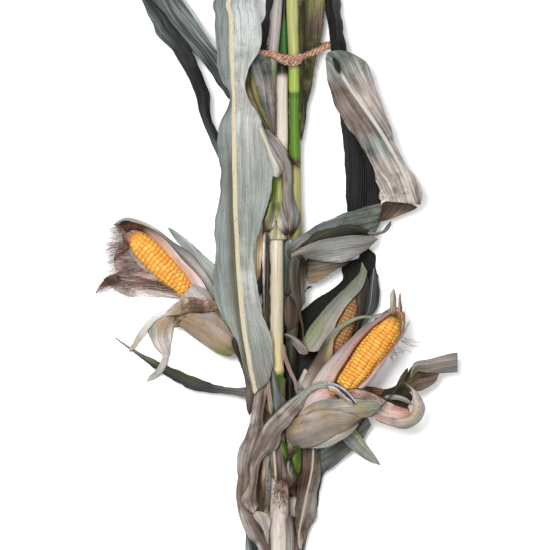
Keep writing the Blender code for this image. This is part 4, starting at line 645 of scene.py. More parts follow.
             pleats=(2.2, 6), ripple=(2.5, 35), ragged=1.1, square=True), """
    69,306,42 73,310,44 78,315.5,42  71,290,47 86,297,50 104,311.5,44  74,270,49 94,279,51 125,299.5,44
    79,252,49 106,259,51 135,281,43  88,229,48 118,242,51 142,258,43  102,206,47 134,220,52 152,234,44
    117,186,45 149,198,54 162,205.5,46  130,164,43 162,176,54 169,181,47  139,143,40 173,157,54 181,154.5,46
    144,124,37 183,135,52 196,138,44  147,111,34 190,115,48 204.5,117,42  148,104,33 196,99,44 203,98,41
    """),
    # A dark sheet laid over leaf_hanging: painted shade in the hole through the leaf.
    "leaf_hanging_hole": ("dark", "slate_dark ink", "ink ink plum",
        dict(pleats=(0.5, 3), ripple=(0.5, 35), ragged=0.8), """
    79,303,49 81,304,50 83,303.5,49  82,295,51 85,296,53 88.5,296.5,52  85,287,51 87.5,287,53 91,287.5,52
    88,282,51 89.5,281,52 91.5,281.5,51"""),
    # Its right half is painted lighter than its left: partly its own bleached colour, partly painted light on
    # the lit face of its long fold.
    "leaf_front_long": ("leaf",
        "sage slate_pale slate_pale slate_pale slate_pale sage slate_pale slate_pale sage mauve",
        "ice ice ice ice_warm ice_warm sage sage ice_warm sage mauve",
        dict(streak=0.5, blotch=("slate_pale", 0.2), rib=("rib", 6), furrow=("olive_dark", 17, 0.46, 0.98),
             pleats=(0.9, 7), ripple=(3, 70)), """
    -6,474,44 2,476,45 10,474,44  -58,436,60 -34,442,56 -4,440,58  -84,385,70 -64,385,62 -28.5,385,68
    -84,362,71 -62,362,63 -21,362,69  -84,343,72 -61,343,64 -18,343,70  -81,318,72 -61,318,64 -20.5,314,68
    -80,290,72 -60,290,64 -35,291,66  -75,271,72 -59.5,272,65 -41,272,65  -63,254,72 -59,254,66 -42,255,64
    -64,238,72 -58.5,238,65 -34,240,63  -75,215,68 -58,217,64 -20,219,62
    -79.5,190,64 -57.5,192,61 -16,200,61  -78,165,62 -57,168,60 -5,169,63  -76,146,60 -57,148,59 1,151,64
    -76,130,60 -56.5,132,58 -4,134,64  -77,108,59 -56,108,57 -7,107,64  -82,86,58 -55.5,88,56 -13,88,64
    -85,62,57 -54,62,55 -20,63,63  -83,46,57 -53,46,55 -28,44,62  -84,26,56 -52,26,54 -30,26,62
    -86.5,3,55 -50.5,3,53 -28,6,61  -85,-23,54 -48.5,-23,52 -23,-28,60  -79,-45,52 -46.5,-48,50 -18,-50,57
    -64,-72,50 -44,-72,49 -11,-72,55  -54,-92,48 -41.5,-92,48 -4,-90,53  -47,-115,48 -38,-112,48 -2,-108,52
    -42,-135,48 -35,-132,48 -3,-130,50  -35,-151,47 -31.5,-149,48 -9,-147,49
    -30,-167,45 -28.5,-166,46 -24,-163,46"""),
    "leaf_collar": ("leaf", "ice_warm ice_warm slate_pale ice_warm", "lilac ice_warm lilac silver",
        dict(rib=("rib", 3.2), pleats=(0.3, 2), ripple=(0.5, 20), ragged=0.4, square=True), """
    -4,134,46 4,137,48 13,141,47  -3,143,47 4,148,49 11,152,47  -9,163,48 -5,166,50 1,169,48
    -16,184,49 -13,186,51 -9,188,49  -24,204,50 -21,206,51 -17,208,50"""),
    "leaf_node_rim": ("dark", "brown ink brown", "ink plum ink",
        dict(pleats=(0.5, 2), ripple=(0.8, 10), ragged=0.8), """
    16,170,38 18,169,39 20,168,38  21,160,39 24,158,41 27,157,39  30,153,37 33,151,38 35,148,36"""),
    "sheath_flare_left": ("leaf", "sage_green khaki khaki tan plum", "khaki khaki cream cream cream brown",
        dict(meet=0.6, tone=0.78, pleats=(0.5, 3), ripple=(0.6, 20), ragged=1.4), """
    -7,102,38 -3,103,40 1,103,40  -10,86,37 -5,86,41 1,86,41  -15,73,36 -8,72,41 -0.5,71,41
    -18.5,60,34 -10,59,39 -2,62,40"""),
    "sheath_flare_right": ("leaf", "lime green sheath_yellow cream husk_pale ink",
        "sheath_yellow mauve_pale lilac mauve_pale brown ink",
        dict(meet=0.6, tone=1.15, pleats=(0.5, 3), ripple=(0.6, 20), ragged=1.4), """
    2,102,40 6,102,40 11,101,37  3,84,41 8,83,41 15,81,36  3.5,70,41 11,68,41 19,64,35
    6,61,40 13,56,39 21,47,33"""),
}

# Hairs: their slot, their number, the line their roots lie on and the line their ends reach, each from one
# point to another, how far they scatter and wander, and the names of their two colours.
HAIRS = {
    "tie_strands": ("rope", 18, "38,303,40 60,307,36 40,285,30 58,290,30", 4, 3.0, "olive", "olive_dark"),
    "tie_wisps": ("rope", 8, "-20,310,52 -6,312,52 -26,292,50 -8,290,50", 3, 2.5, "coir", "brown"),
    "fibres_cane": (
        "husk", 26, "0,-300,40 17,-302,40 1,-326,40.5 16,-350,40.5", 1.2, 7.0, "rust", "plum_pale"),
    "fibres_foot": ("husk", 46, "2,-286,46 24,-290,44 -8,-304,40 26,-306,38", 3, 4.5, "rust", "brown"),
    "silk_left_rim": (
        "husk", 80, "-213,66,38 -205,42,36 -231,70,14 -236,42,10", 4, 1.8, "mauve_pale", "rust"),
    "silk_left_tuft": ("husk", 70, "-208,50,36 -203,36,32 -240,44,10 -233,18,8", 3, 1.4, "silk", "rust"),
    "silk_left_brow": ("husk", 60, "-224,70,34 -184,70,46 -216,60,36 -188,64,48", 2.5, 1.4, "rust", "plum"),
    "silk_left_cloud": (
        "husk", 50, "-206,38,32 -186,4,28 -232,34,8 -234,-4,12", 5, 2.4, "mauve_pale", "silk"),
    "silk_left_fringe": (
        "husk", 40, "-226,-4,20 -196,-24,12 -234,-16,6 -200,-36,4", 4, 1.8, "husk_pale", "rust"),
    "silk_left_rust": ("husk", 30, "-204,30,30 -172,-2,28 -226,14,12 -238,-4,16", 5, 3, "silk", "plum"),
    "silk_left_drape": ("husk", 44, "-166,-8,26 -136,-24,24 -232,-2,22 -246,-14,6", 3, 2.6, "rust", "plum"),
    "silk_left_end": ("husk", 50, "-220,0,20 -216,-8,18 -248,-16,6 -253,-28,6", 1.5, 1.6, "rust", "plum"),
    "silk_left_tail": (
        "husk", 6, "-213,-24,16 -207,-27,14 -209,-40,3 -201,-42,3", 2, 0.9, "silk_pale", "sage"),
    "fibres_left_band": (
        "husk", 30, "-132,-36,46 -84,-34,44 -140,-48,40 -86,-50,44", 3.5, 2.2, "rust", "plum"),
    "silk_right_curl": (
        "husk", 4, "176,-84,44 177,-90,44 187,-70,12 189,-66,12", 1, 0.9, "silver", "slate_pale"),
    "silk_right_reach": (
        "husk", 5, "174,-86,44 176,-93,44 195,-90,8 202,-95,8", 1.5, 1.5, "silver", "sage"),
    "silk_right_loops": (
        "husk", 9, "173,-92,40 160,-108,40 178,-110,8 164,-121,8", 3, 2.4, "silver", "mauve_pale"),
    "silk_right_cap": ("husk", 16, "162,-56,66 182,-66,62 156,-46,58 186,-56,54", 3, 1.2, "rust", "plum"),
    "fibres_right_rim": (
        "husk", 34, "98,-158,52 156,-174,58 100,-165,52 158,-183,58", 2, 1.2, "pink", "rust"),
}

# How much thicker than the rest some hairs are.
HAIR_WIDTHS = {"silk_right_curl": 2.6, "silk_right_reach": 2.4, "silk_right_loops": 2.2, "tie_strands": 1.3}


def table(text, *shape):
    """The numbers of a text, as rows of the given shape."""
    return np.array(text.replace(",", " ").split(), float).reshape(-1, *shape)


def linear(hex_colour):
    """An sRGB colour such as "#96a5a0" as linear red, green and blue."""
    parts = [int(hex_colour[at:at + 2], 16) / 255 for at in (1, 3, 5)]
    return tuple(part / 12.92 if part <= 0.04045 else ((part + 0.055) / 1.055) ** 2.4 for part in parts)


def shade(name, hex_colour, description):
    """A colour that a user would change."""
    return FloatVectorProperty(name=name, description=description, subtype="COLOR", size=3, min=0, max=1,
                               default=linear(hex_colour))


def size(name, millimetres, description, low=0.05, high=40.0):
    """A length that a user would change, in metres."""
    return FloatProperty(name=name, description=description, subtype="DISTANCE", unit="LENGTH",
                         default=millimetres * MM, min=low * MM, max=high * MM)


class BundleColours(PropertyGroup):
    """The colours of dry maize, from its leaves to its kernels."""

    ice: shade("Ice", "#abafaf", "Bleached half of a leaf, with a bluish bloom")
    ice_warm: shade("Warm ice", "#a8a8a3", "Bleached leaf without the bloom")
    sage: shade("Sage", "#878c85", "Faded grey-green leaf")
    sage_green: shade("Green sage", "#8c9471", "Leaf or husk that has kept some green")
    slate_pale: shade("Pale slate", "#7e8581", "Faded blue-grey leaf")
    slate: shade("Slate", "#5c6360", "Blue-grey leaf")
    slate_dark: shade("Dark slate", "#2a2f2d", "Weathered dark leaf")
    ink: shade("Ink", "#12120a", "Nearly black leaf")
    olive: shade("Olive", "#746e40", "Yellowing leaf near the stalk")
    olive_dark: shade("Dark olive", "#3d3c20", "Shaded olive leaf")
    khaki: shade("Khaki", "#97985f", "Upper part of a stalk that is turning yellow")
    lime: shade("Lime", "#879840", "Stalk above a node, yellow turning green")
    green_deep: shade("Deep green", "#254e17", "Young stalk, still wholly green")
    green: shade("Green", "#4b6d13", "Still green stalk")
    mauve: shade("Mauve", "#776a63", "Dried leaf gone grey and pink")
    mauve_pale: shade("Pale mauve", "#988e87", "The same leaf where it is bleached")
    plum_pale: shade("Pale plum", "#5e4e42", "Dried leaf gone brown and pink")
    plum: shade("Plum", "#3c2d24", "Dark brown tip of a leaf or husk")
    brown: shade("Brown", "#331f11", "Rotten edge")
    lilac: shade("Lilac", "#9c9294", "Outer face of an inner husk")
    pink: shade("Pink", "#b6968e", "Inner face of a husk")
    rose: shade("Rose", "#a36a5c", "Husk stained red beside the kernels")
    husk_pale: shade("Pale husk", "#b6aba3", "Bleached husk")
    silver: shade("Silver", "#8f8d88", "Dried leaf gone a plain pale grey")
    rib: shade("Midrib", "#b1a78f", "Hard midrib of a long leaf")
    cream: shade("Cream", "#c1b8a7", "Midrib and pale cane")
    tan: shade("Tan", "#a1896a", "Dry husk")
    straw: shade("Straw", "#a59885", "Dry cane")
    straw_yellow: shade("Yellow straw", "#c1ae7f", "Riper part of the cane")
    sheath_yellow: shade("Sheath yellow", "#908c58", "Olive-yellow sheath")
    # The kernel's crown and side colours are partly its own, partly a painted highlight on the crown and
    # painted shade down the sides.
    kernel: shade("Kernel crown", "#cf9d43", "Top of a kernel")
    kernel_side: shade("Kernel side", "#a5570a", "Side of a kernel, where it meets the next")
    kernel_dull: shade("Dull kernel", "#94744a", "Kernels of the small ear at the back")
    cob: shade("Cob", "#b87632", "Cob between the kernels")
    rust: shade("Rust", "#6b3c2b", "Husk and silk stained reddish brown")
    silk: shade("Silk", "#6a483d", "Dry corn silk")
    silk_pale: shade("Pale silk", "#9f9586", "Bleached corn silk")
    coir: shade("Coir", "#b58f78", "Yarn of the tie")
    coir_dark: shade("Dark coir", "#80573f", "Shaded yarn of the tie")


class BundleSizes(PropertyGroup):
    """The sizes of the bundle's parts."""

    leaf: size("Leaf thickness", 0.7, "Thickness of a dry leaf")
    sheath: size("Sheath thickness", 0.6, "Thickness of a sheath round a stalk")
    lay_gap: size("Lay gap", 0.9, "Room between a leaf and what it lies over")
    vein: size("Vein spacing", 2.6, "Distance from one long vein of a leaf to the next")
    yarn: size("Yarn radius", 2.35, "Radius of one of the three yarns of the tie")
    silk: size("Silk radius", 0.24, "Radius of a strand of silk, drawn thick enough to show")
    kernel_depth: size("Kernel depth", 4.2, "Half of how far a kernel reaches into the cob")
    left_rows: IntProperty(name="Left ear rows", description="Rows of kernels round the left ear",
                           default=14, min=8)
    right_rows: IntProperty(name="Right ear rows", description="Rows of kernels round the right ear",
                            default=12, min=8)
    rear_rows: IntProperty(name="Rear ear rows", description="Rows of kernels round the small ear",
                           default=14, min=8)


def colour(name):
    """One of the bundle's colours, as red, green and blue."""
    return tuple(getattr(bpy.context.scene.bundle_colours, name))


def opaque(name):
    """One of the bundle's colours, with its alpha."""
    return (*colour(name), 1)


def sizes():
    """The bundle's sizes, in metres."""
    return bpy.context.scene.bundle_sizes


def curve_points(points, places):
    """Points on the smooth curve through the given ones; a place runs from 0 to the last one's number."""
    points = np.asarray(points, float)
    last = len(points) - 1
    index = np.clip(places.astype(int), 0, last - 1)
    part = (places - index).reshape((-1,) + (1,) * (points.ndim - 1))
    before, start, end, after = (points[np.clip(index + step, 0, last)] for step in (-1, 0, 1, 2))
    bend = (2 * before - 5 * start + 4 * end - after) * part ** 2
    swing = (3 * start - before - 3 * end + after) * part ** 3
    return 0.5 * (2 * start + (end - before) * part + bend + swing)


def even_places(points, step):
    """Places on a curve whose points are about one step apart, and how far along it each one is."""
    dense = np.linspace(0, len(points) - 1, 40 * len(points))
    walk = np.linalg.norm(np.diff(curve_points(points, dense), axis=0), axis=1)
    walk = np.concatenate([[0], np.cumsum(walk)])
    count = max(12, round(walk[-1] / step))
    distance = np.linspace(0, walk[-1], count + 1)
    return np.interp(distance, walk, dense), distance


def wander(seed, *places):
    """A smooth random swing between about -1 and 1, whose waves are about six units long."""
    chance = np.random.default_rng(seed)
    total = 0
    for _ in range(WAVES):
        angle = sum(chance.normal() * place for place in places)
        total = total + np.sin(angle + chance.uniform(0, math.tau))
    return total / 3.2


class Pile:
    """How high the pieces laid so far reach, in millimetres, over a plan in small squares.

    A sheet that has to rise over one place rises with it as far as REACH round that place.
    """

    CELL = 1.5
    CORNER = (-275.0, -495.0)
    SQUARES = (367, 660)
    REACH = 5.0

    def __init__(self):
        self.height = np.zeros(self.SQUARES)

    def squares(self, points):
        """The square that each point lies in, away from the plan's edge."""
        return tuple(np.clip(np.rint((points[..., axis] - self.CORNER[axis]) / self.CELL).astype(int),
                             1, self.height.shape[axis] - 2) for axis in range(2))

    def add(self, points):
        """Lay down a sheet or a tube, given as its grid of points."""
        fine = points
        for axis in range(2):
            gap = np.abs(np.diff(fine[..., :2], axis=axis)).max()
            times = int(np.clip(np.ceil(gap / self.CELL), 1, 8))
            first = np.take(fine, range(fine.shape[axis] - 1), axis)
            second = np.take(fine, range(1, fine.shape[axis]), axis)
            fine = np.concatenate([first + (second - first) * (step / times) for step in range(times)] +
                                  [np.take(fine, [-1], axis)], axis)
        np.maximum.at(self.height, self.squares(fine), fine[..., 2])

    def top(self, points):
        """The height under each point, with the squares beside its own."""
        column, row = self.squares(points)
        found = self.height[column, row]
        for right in (-1, 0, 1):
            for up in (-1, 0, 1):
                found = np.maximum(found, self.height[column + right, row + up])
        return found

    def lift(self, points, gap):
        """How far each point of a sheet has to rise to lie over the pile, spread smoothly round it."""
        need = np.maximum(self.top(points) + gap - points[..., 2], 0)
        for axis in range(2):
            step = np.linalg.norm(np.diff(points, axis=axis), axis=-1).mean()
            reach = int(max(1, min(round(self.REACH / step), need.shape[axis] // 3)))
            need = sweep(need, axis, reach, np.max)
            need = sweep(sweep(need, axis, reach // 2, np.mean), axis, reach - reach // 2, np.mean)
        return need


PILE = Pile()


def sweep(values, axis, reach, join):
    """Each value joined with its neighbours along one axis, by their highest or their mean."""
    if reach < 1:
        return values
    pad = [(0, 0), (0, 0)]
    pad[axis] = (reach, reach)
    wide = np.pad(values, pad, mode="edge")
    return join(np.lib.stride_tricks.sliding_window_view(wide, 2 * reach + 1, axis), axis=-1)


def seed_of(name):
    """The number that a piece's random changes start from."""
    return sum(map(ord, name))


def leaf_rise(seed, shape, full, width, along, side):
    """How far each point of a leaf rises with its long pleats, its rippled margins and its small dents."""
    tall, count = shape["pleats"]
    fade = full * np.clip(width / 30, 0.2, 1)
    drift = 1.2 * wander(seed + 3, along / 45) + 0.5 * side * wander(seed + 4, along / 60)
    strength = 0.7 + 0.6 * wander(seed + 5, along / 30, side * 2)
    rise = tall * fade * strength * np.arcsin(0.96 * np.sin(math.pi * count * side / 2 + drift))
    wave, wave_length = shape["ripple"]
    swing = wander(seed + 6, along / wave_length * 4, np.sign(side) * 7)
    rise = rise + wave * fade * np.abs(side) ** 3 * swing
    return rise + 0.7 * fade * wander(seed + 7, along / 7, side * width / 7)


def leaf_sheet(name, rows, shape):
    """A leaf's points, with the distance across from its midrib, along it, and the share across and along."""
    seed = seed_of(name)
    places, distance = even_places(rows[:, 1], SHEET_STEP)
    left, middle, right = (curve_points(rows[:, part], places)[:, None] for part in range(3))
    width = np.linalg.norm(right - left, axis=-1)
    across = int(np.clip(2 * round(width.max() / 4.0), 8, 44))
    side = np.linspace(-1, 1, across + 1)[None, :]
    along = distance[:, None]
    total = distance[-1]
    # A leaf comes to a rounded point at its tip, unless it is cut square, and narrows a little at its base.
    full = np.clip(along / min(width[0] * 0.6 + 2, 6), 0.02, 1) ** 0.5
    if not shape["square"]:
        full = np.clip((total - along) / min(width[-1] * 1.3 + 2, 9), 0.015, 1) ** 0.6 * full
    sideways = (right - left) / np.maximum(width, 0.1)[..., None]
    half = width / 2 * full
    torn = wander(seed + 1, along / 9, np.sign(side) * 9)
    torn = torn + 0.25 * wander(seed + 2, along / 2.2, np.sign(side) * 9)
    half = half + shape["ragged"] * np.abs(side) ** 3 * full * torn
    fold = ((left + right) / 2 - middle) * (full * np.abs(side) ** 1.5)[..., None]
    points = middle + sideways * (half * side)[..., None] + fold
    points[..., 2] += leaf_rise(seed, shape, full, width, along, side)
    return points, side * half, np.broadcast_to(along, half.shape), side, along / total


def wrap_sheet(name, around, rows):
    """A husk or sheath wound round an ear or the front stalk, given as leaf_sheet gives a leaf."""
    seed = seed_of(name)
    reach = rows[:, 0].max() - rows[:, 0].min()
    places = np.linspace(0, len(rows) - 1, max(10, round(reach / SHEET_STEP)) + 1)
    distance, start, end, low, high = (column[:, None] for column in curve_points(rows, places).T)
    widest = np.abs(rows[:, 2] - rows[:, 1]).max() * rows[:, 3:].max() / DEGREES_IN_RADIAN
    across = int(np.clip(2 * round(widest / 5), 10, 56))
    share = np.linspace(0, 1, across + 1)[None, :]
    turn = np.radians(start + (end - start) * share)
    radius = low + (high - low) * share
    along = np.abs(distance - distance[0])
    edge = np.abs(2 * share - 1) ** 6
    radius = radius + 0.5 * wander(seed, along / 12, share * 5)
    radius = radius + 0.35 * np.sin(share * across * 0.9 + along / 25)
    radius = radius + edge * wander(seed + 1, along / 6, np.sign(share - 0.5) * 5)
    if around == "stalk":
        centre = stalk_centres(distance[:, 0])[:, None]
        left, up = np.array([-1.0, 0, 0]), np.array([0, 0, 1.0])
    else:
        base, ahead, left, up = ear_axes(around)
        centre = base + ahead * (distance + 1.2 * edge * wander(seed + 2, share * 60))[..., None]
    points = centre + (left * np.sin(turn)[..., None] + up * np.cos(turn)[..., None]) * radius[..., None]
    arc = np.radians(np.abs(end - start)) * (share - 0.5) * (low + high) / 2
    return points, arc, np.broadcast_to(along, arc.shape), 2 * share - 1, along / max(reach, 1)


def stalk_centres(heights):
    """The middle of the front stalk at places along it."""
    points = table(STALKS["stalk_front"][1], 4)[:, :3]
    dense = curve_points(points, np.linspace(0, len(points) - 1, 600))[::-1]
    return np.stack([np.interp(heights, dense[:, 1], dense[:, axis]) for axis in range(3)], axis=1)


def ear_axes(ear):
    """An ear's base, its direction, its left side and its upper side."""
    base, tip = np.array(EARS[ear][:2], float)
    ahead = (tip - base) / np.linalg.norm(tip - base)
    left = np.cross((0, 0, 1), ahead)
    left = left / np.linalg.norm(left)
    return base, ahead, left, np.cross(ahead, left)


def tube_sheet(points, radii, step, sides, guide, offset=0.0, turns=0.0, phase=0.0):
    """A tube on a smooth line, as a grid of points whose last column is its first again.

    An offset moves it off the line, and the turns wind it round that line, as a yarn lies in a rope.
    """
    points = np.asarray(points, float)
    places, distance = even_places(points, step)
    centre = curve_points(points, places)
    last = len(points) - 1
    behind, ahead = (curve_points(points, np.clip(places + near, 0, last)) for near in (-0.05, 0.05))
    direction = ahead - behind
    beside = np.cross(direction, np.asarray(guide, float))
    beside /= np.linalg.norm(beside, axis=1)[:, None]
    over = np.cross(beside, direction)
    over /= np.linalg.norm(over, axis=1)[:, None]
    radius = np.interp(places, np.arange(last + 1), radii) if np.ndim(radii) else np.full(len(places), radii)
    if offset:
        angle = phase + turns * math.tau * distance / distance[-1]
        # A yarn spun by hand is thick in one place and thin in the next.
        radius = radius * (1 + 0.13 * wander(31, distance / 5, phase * 3))
        centre = centre + (beside * np.cos(angle)[:, None] + over * np.sin(angle)[:, None]) * offset
    turn = np.linspace(0, math.tau, sides + 1)
    circle = beside[:, None] * np.cos(turn)[None, :, None] + over[:, None] * np.sin(turn)[None, :, None]
    return centre[:, None] + circle * radius[:, None, None], distance, turn, radius


def finish_mesh(name, mesh, nodes, material):
    """Make a mesh in millimetres a piece of the bundle."""
    mesh.transform(Matrix.Scale(MM, 4))
    mesh.shade_smooth()
    mesh.materials.append(material)
    piece = bpy.data.objects.new(name, mesh)
    bpy.context.scene.collection.objects.link(piece)
    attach(piece, "root")
    if nodes:
        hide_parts(*nodes)
    return piece


def close_tubes(bm, near):
    """Join the two sides of each tube's seam, fill its ends and turn its faces outwards."""
    bmesh.ops.remove_doubles(bm, verts=bm.verts, dist=near)
    bmesh.ops.holes_fill(bm, edges=[edge for edge in bm.edges if edge.is_boundary], sides=0)
    bmesh.ops.recalc_face_normals(bm, faces=bm.faces)


def mesh_of(name, bm):
    """A new mesh made from a bmesh, which is freed."""
    mesh = bpy.data.meshes.new(name)
    bm.to_mesh(mesh)
    bm.free()
    return mesh


def grid_mesh(name, points, across, along, closed=False, **shares):
    """A mesh grid whose vertices go to the points; its UV map holds the metres across and along."""
    rows, columns = points.shape[:2]
    bm = bmesh.new()
    bmesh.ops.create_grid(bm, x_segments=rows - 1, y_segments=columns - 1, size=0.5)
    mesh = mesh_of(name, bm)
    place = np.empty(len(mesh.vertices) * 3)
    mesh.vertices.foreach_get("co", place)
    place = place.reshape(-1, 3)
    row = np.rint((place[:, 0] + 0.5) * (rows - 1)).astype(int)
    column = np.rint((place[:, 1] + 0.5) * (columns - 1)).astype(int)
    mesh.vertices.foreach_set("co", points[row, column].ravel())
    corners = np.empty(len(mesh.loops), int)
    mesh.loops.foreach_get("vertex_index", corners)
    surface = np.stack([np.broadcast_to(part, (rows, columns)) for part in (across, along)], axis=-1)
    mesh.uv_layers.new(name="surface").uv.foreach_set("vector", surface[row, column][corners].ravel() * MM)
    for label, values in shares.items():
        attribute = mesh.attributes.new(label, "FLOAT", "POINT")
        values = np.broadcast_to(values, (rows, columns))[row, column]
        attribute.data.foreach_set("value", values.astype(np.float32))
    if closed:
        bm = bmesh.new()
        bm.from_mesh(mesh)
        close_tubes(bm, 0.003)
        bm.to_mesh(mesh)
        bm.free()
    return mesh


def lay_sheet(name, entry):
    """Make a leaf, a husk or a sheath a piece with a thickness; a loose one is laid over the pile."""
    slot, left, right, own, rows = entry
    look = {**PLAIN_SHEET, "streak": HUSK_STREAK if name.startswith("husk") else LEAF_STREAK, **own}
    around = look["around"]
    if around:
        points, across, along, side, share = wrap_sheet(name, around, table(rows, 5))
    else:
        points, across, along, side, share = leaf_sheet(name, table(rows, 3, 3), look)
        if look["loose"]:
            points[..., 2] += PILE.lift(points, sizes().lay_gap / MM)
    points[..., 2] = np.maximum(points[..., 2], FLOOR_GAP)
    PILE.add(points)
    mesh = grid_mesh("dry_" + name, points, across, along, side=side, share=share)
    nodes = [name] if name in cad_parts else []
    piece = finish_mesh("dry_" + name, mesh, nodes, leaf_finish(name, left, right, look))
    wall = piece.modifiers.new("Thickness", "SOLIDIFY")
    wall.thickness = sizes().sheath if around == "stalk" else sizes().leaf
    wall.offset = 0


def feed(tree, node, inputs):
    """Give a shader node the values and links of its inputs."""
    for key, value in inputs.items():
        if isinstance(value, bpy.types.NodeSocket):
            tree.links.new(value, node.inputs[key])
        else:
            node.inputs[key].default_value = value


def add(tree, kind, inputs=(), output=0, stops=(), **settings):
    """Add a shader node with its inputs, its colour stops and its settings, and give back an output."""
    made = tree.nodes.new("ShaderNode" + kind)
    for key, value in settings.items():
        setattr(made, key, value)
    if stops:
        ramp = made.color_ramp.elements
        while len(ramp) < len(stops):
            ramp.new(1.0)
        while len(ramp) > len(stops):
            ramp.remove(ramp[-1])
        for stop, (place, stop_colour) in zip(ramp, stops):
            stop.position = place
            stop.color = (*stop_colour, 1)
    feed(tree, made, inputs if isinstance(inputs, dict) else dict(enumerate(inputs)))
    return made.outputs[output]


def shaded(tree, base, red, other):
    """A colour times one number for its red, and times another for its green and blue."""
    grey = add(tree, "CombineXYZ", (red, other, other))
    return add(tree, "Mix", {0: 1.0, 6: base, 7: grey}, 2, data_type="RGBA", blend_type="MULTIPLY")


def drawn_out(tree, surface, wide, long):
    """Streaks of noise, so many millimetres wide and long on the surface of a leaf or a stalk."""
    stretch = (PER_MM / wide, PER_MM / long, 0)
    grain = add(tree, "VectorMath", (surface, stretch), operation="MULTIPLY")
    return add(tree, "TexNoise", {"Vector": grain, "Scale": 1.0, "Detail": 3.0})


def new_material(name):
    """A new material, its node tree and its shader."""
    made = bpy.data.materials.new(name)
    made.use_nodes = True
    return made, made.node_tree, made.node_tree.nodes["Principled BSDF"]


def even_stops(names, tone):
    """Evenly spread colour stops from a line of colour names, all made lighter or darker by the tone."""
    found = [tuple(min(part * tone, 1.0) for part in colour(name)) for name in names.split()]
    last = max(len(found) - 1, 1)
    return [(number / last, each) for number, each in enumerate(found)]


def leaf_halves(tree, left, right, look, side, share, place):
    """The colours of a leaf's two halves, with clouds and blotches over them."""
    # Patches some 18 mm long, which also push the borders of the colours about.
    patches = add(tree, "TexNoise", {"Vector": place, "Scale": PER_MM / 40, "Detail": 4.0})
    shifted = add(tree, "Math", (patches, 0.30, -0.15), operation="MULTIPLY_ADD")
    travelled = add(tree, "Math", (share, shifted), operation="ADD")
    first, second = (add(tree, "ValToRGB", (travelled,), stops=even_stops(names, look["tone"]))
                     for names in (left, right))
    seam = add(tree, "MapRange", (side, -look["meet"], look["meet"]), interpolation_type="SMOOTHSTEP")
    base = add(tree, "Mix", {0: seam, 6: first, 7: second}, 2, data_type="RGBA")
    cloud = add(tree, "MapRange", (patches, 0.36, 0.62, 0.80, 1.08))
    base = shaded(tree, base, cloud, cloud)
    if "blotch" in look:
        other, amount = look["blotch"]
        noise = {"Vector": place, "Scale": PER_MM / 26, "Detail": 6.0, "Roughness": 0.62}
        spread = add(tree, "TexNoise", noise)
        spread = add(tree, "MapRange", (spread, 0.62 - amount / 2, 0.78 - amount / 2, 0, 0.75))
        base = add(tree, "Mix", {0: spread, 6: base, 7: opaque(other)}, 2, data_type="RGBA")
    return base


def leaf_markings(tree, base, look, across, side, share):
    """A leaf's colour with its margins, its furrow of painted shade and its midrib, where it has them. Most
    margins are rotten or bleached; some dark ones are painted shade along a fold.
    """
    if "edge" in look:
        other, *widths = look["edge"]
        for limit, width in zip((-1, 1), widths):
            if width:
                ends = (side, limit * (1 - width * 2), limit * (1 - width * 1.2))
                rim = add(tree, "MapRange", ends, interpolation_type="SMOOTHSTEP")
                base = add(tree, "Mix", {0: rim, 6: base, 7: opaque(other)}, 2, data_type="RGBA")
    if "furrow" in look:
        # The blade sinks beside its midrib and lies in its own shade there.
        other, width, start, end = look["furrow"]
        ends = (across, -width * MM, -width * MM * 0.4)
        near = add(tree, "MapRange", ends, interpolation_type="SMOOTHSTEP")
        for low, high in ((start, start + 0.06), (end, end - 0.06)):
            part = add(tree, "MapRange", (share, low, high))
            near = add(tree, "Math", (near, part), operation="MULTIPLY")
        part = add(tree, "MapRange", (across, 0.0, MM, 0.75, 0.0))
        near = add(tree, "Math", (near, part), operation="MULTIPLY")
        base = add(tree, "Mix", {0: near, 6: base, 7: opaque(other)}, 2, data_type="RGBA")
    if "rib" in look:
        other, width = look["rib"]
        off = add(tree, "Math", (across,), operation="ABSOLUTE")
        ends = (off, width / 2 * MM * 1.25, width / 2 * MM * 0.75)
        rib = add(tree, "MapRange", ends, interpolation_type="SMOOTHSTEP")
        begun = add(tree, "MapRange", (share, look["rib_from"], look["rib_from"] + 0.03))
        rib = add(tree, "Math", (rib, begun), operation="MULTIPLY")
        base = add(tree, "Mix", {0: rib, 6: base, 7: opaque(other)}, 2, data_type="RGBA")
    return base


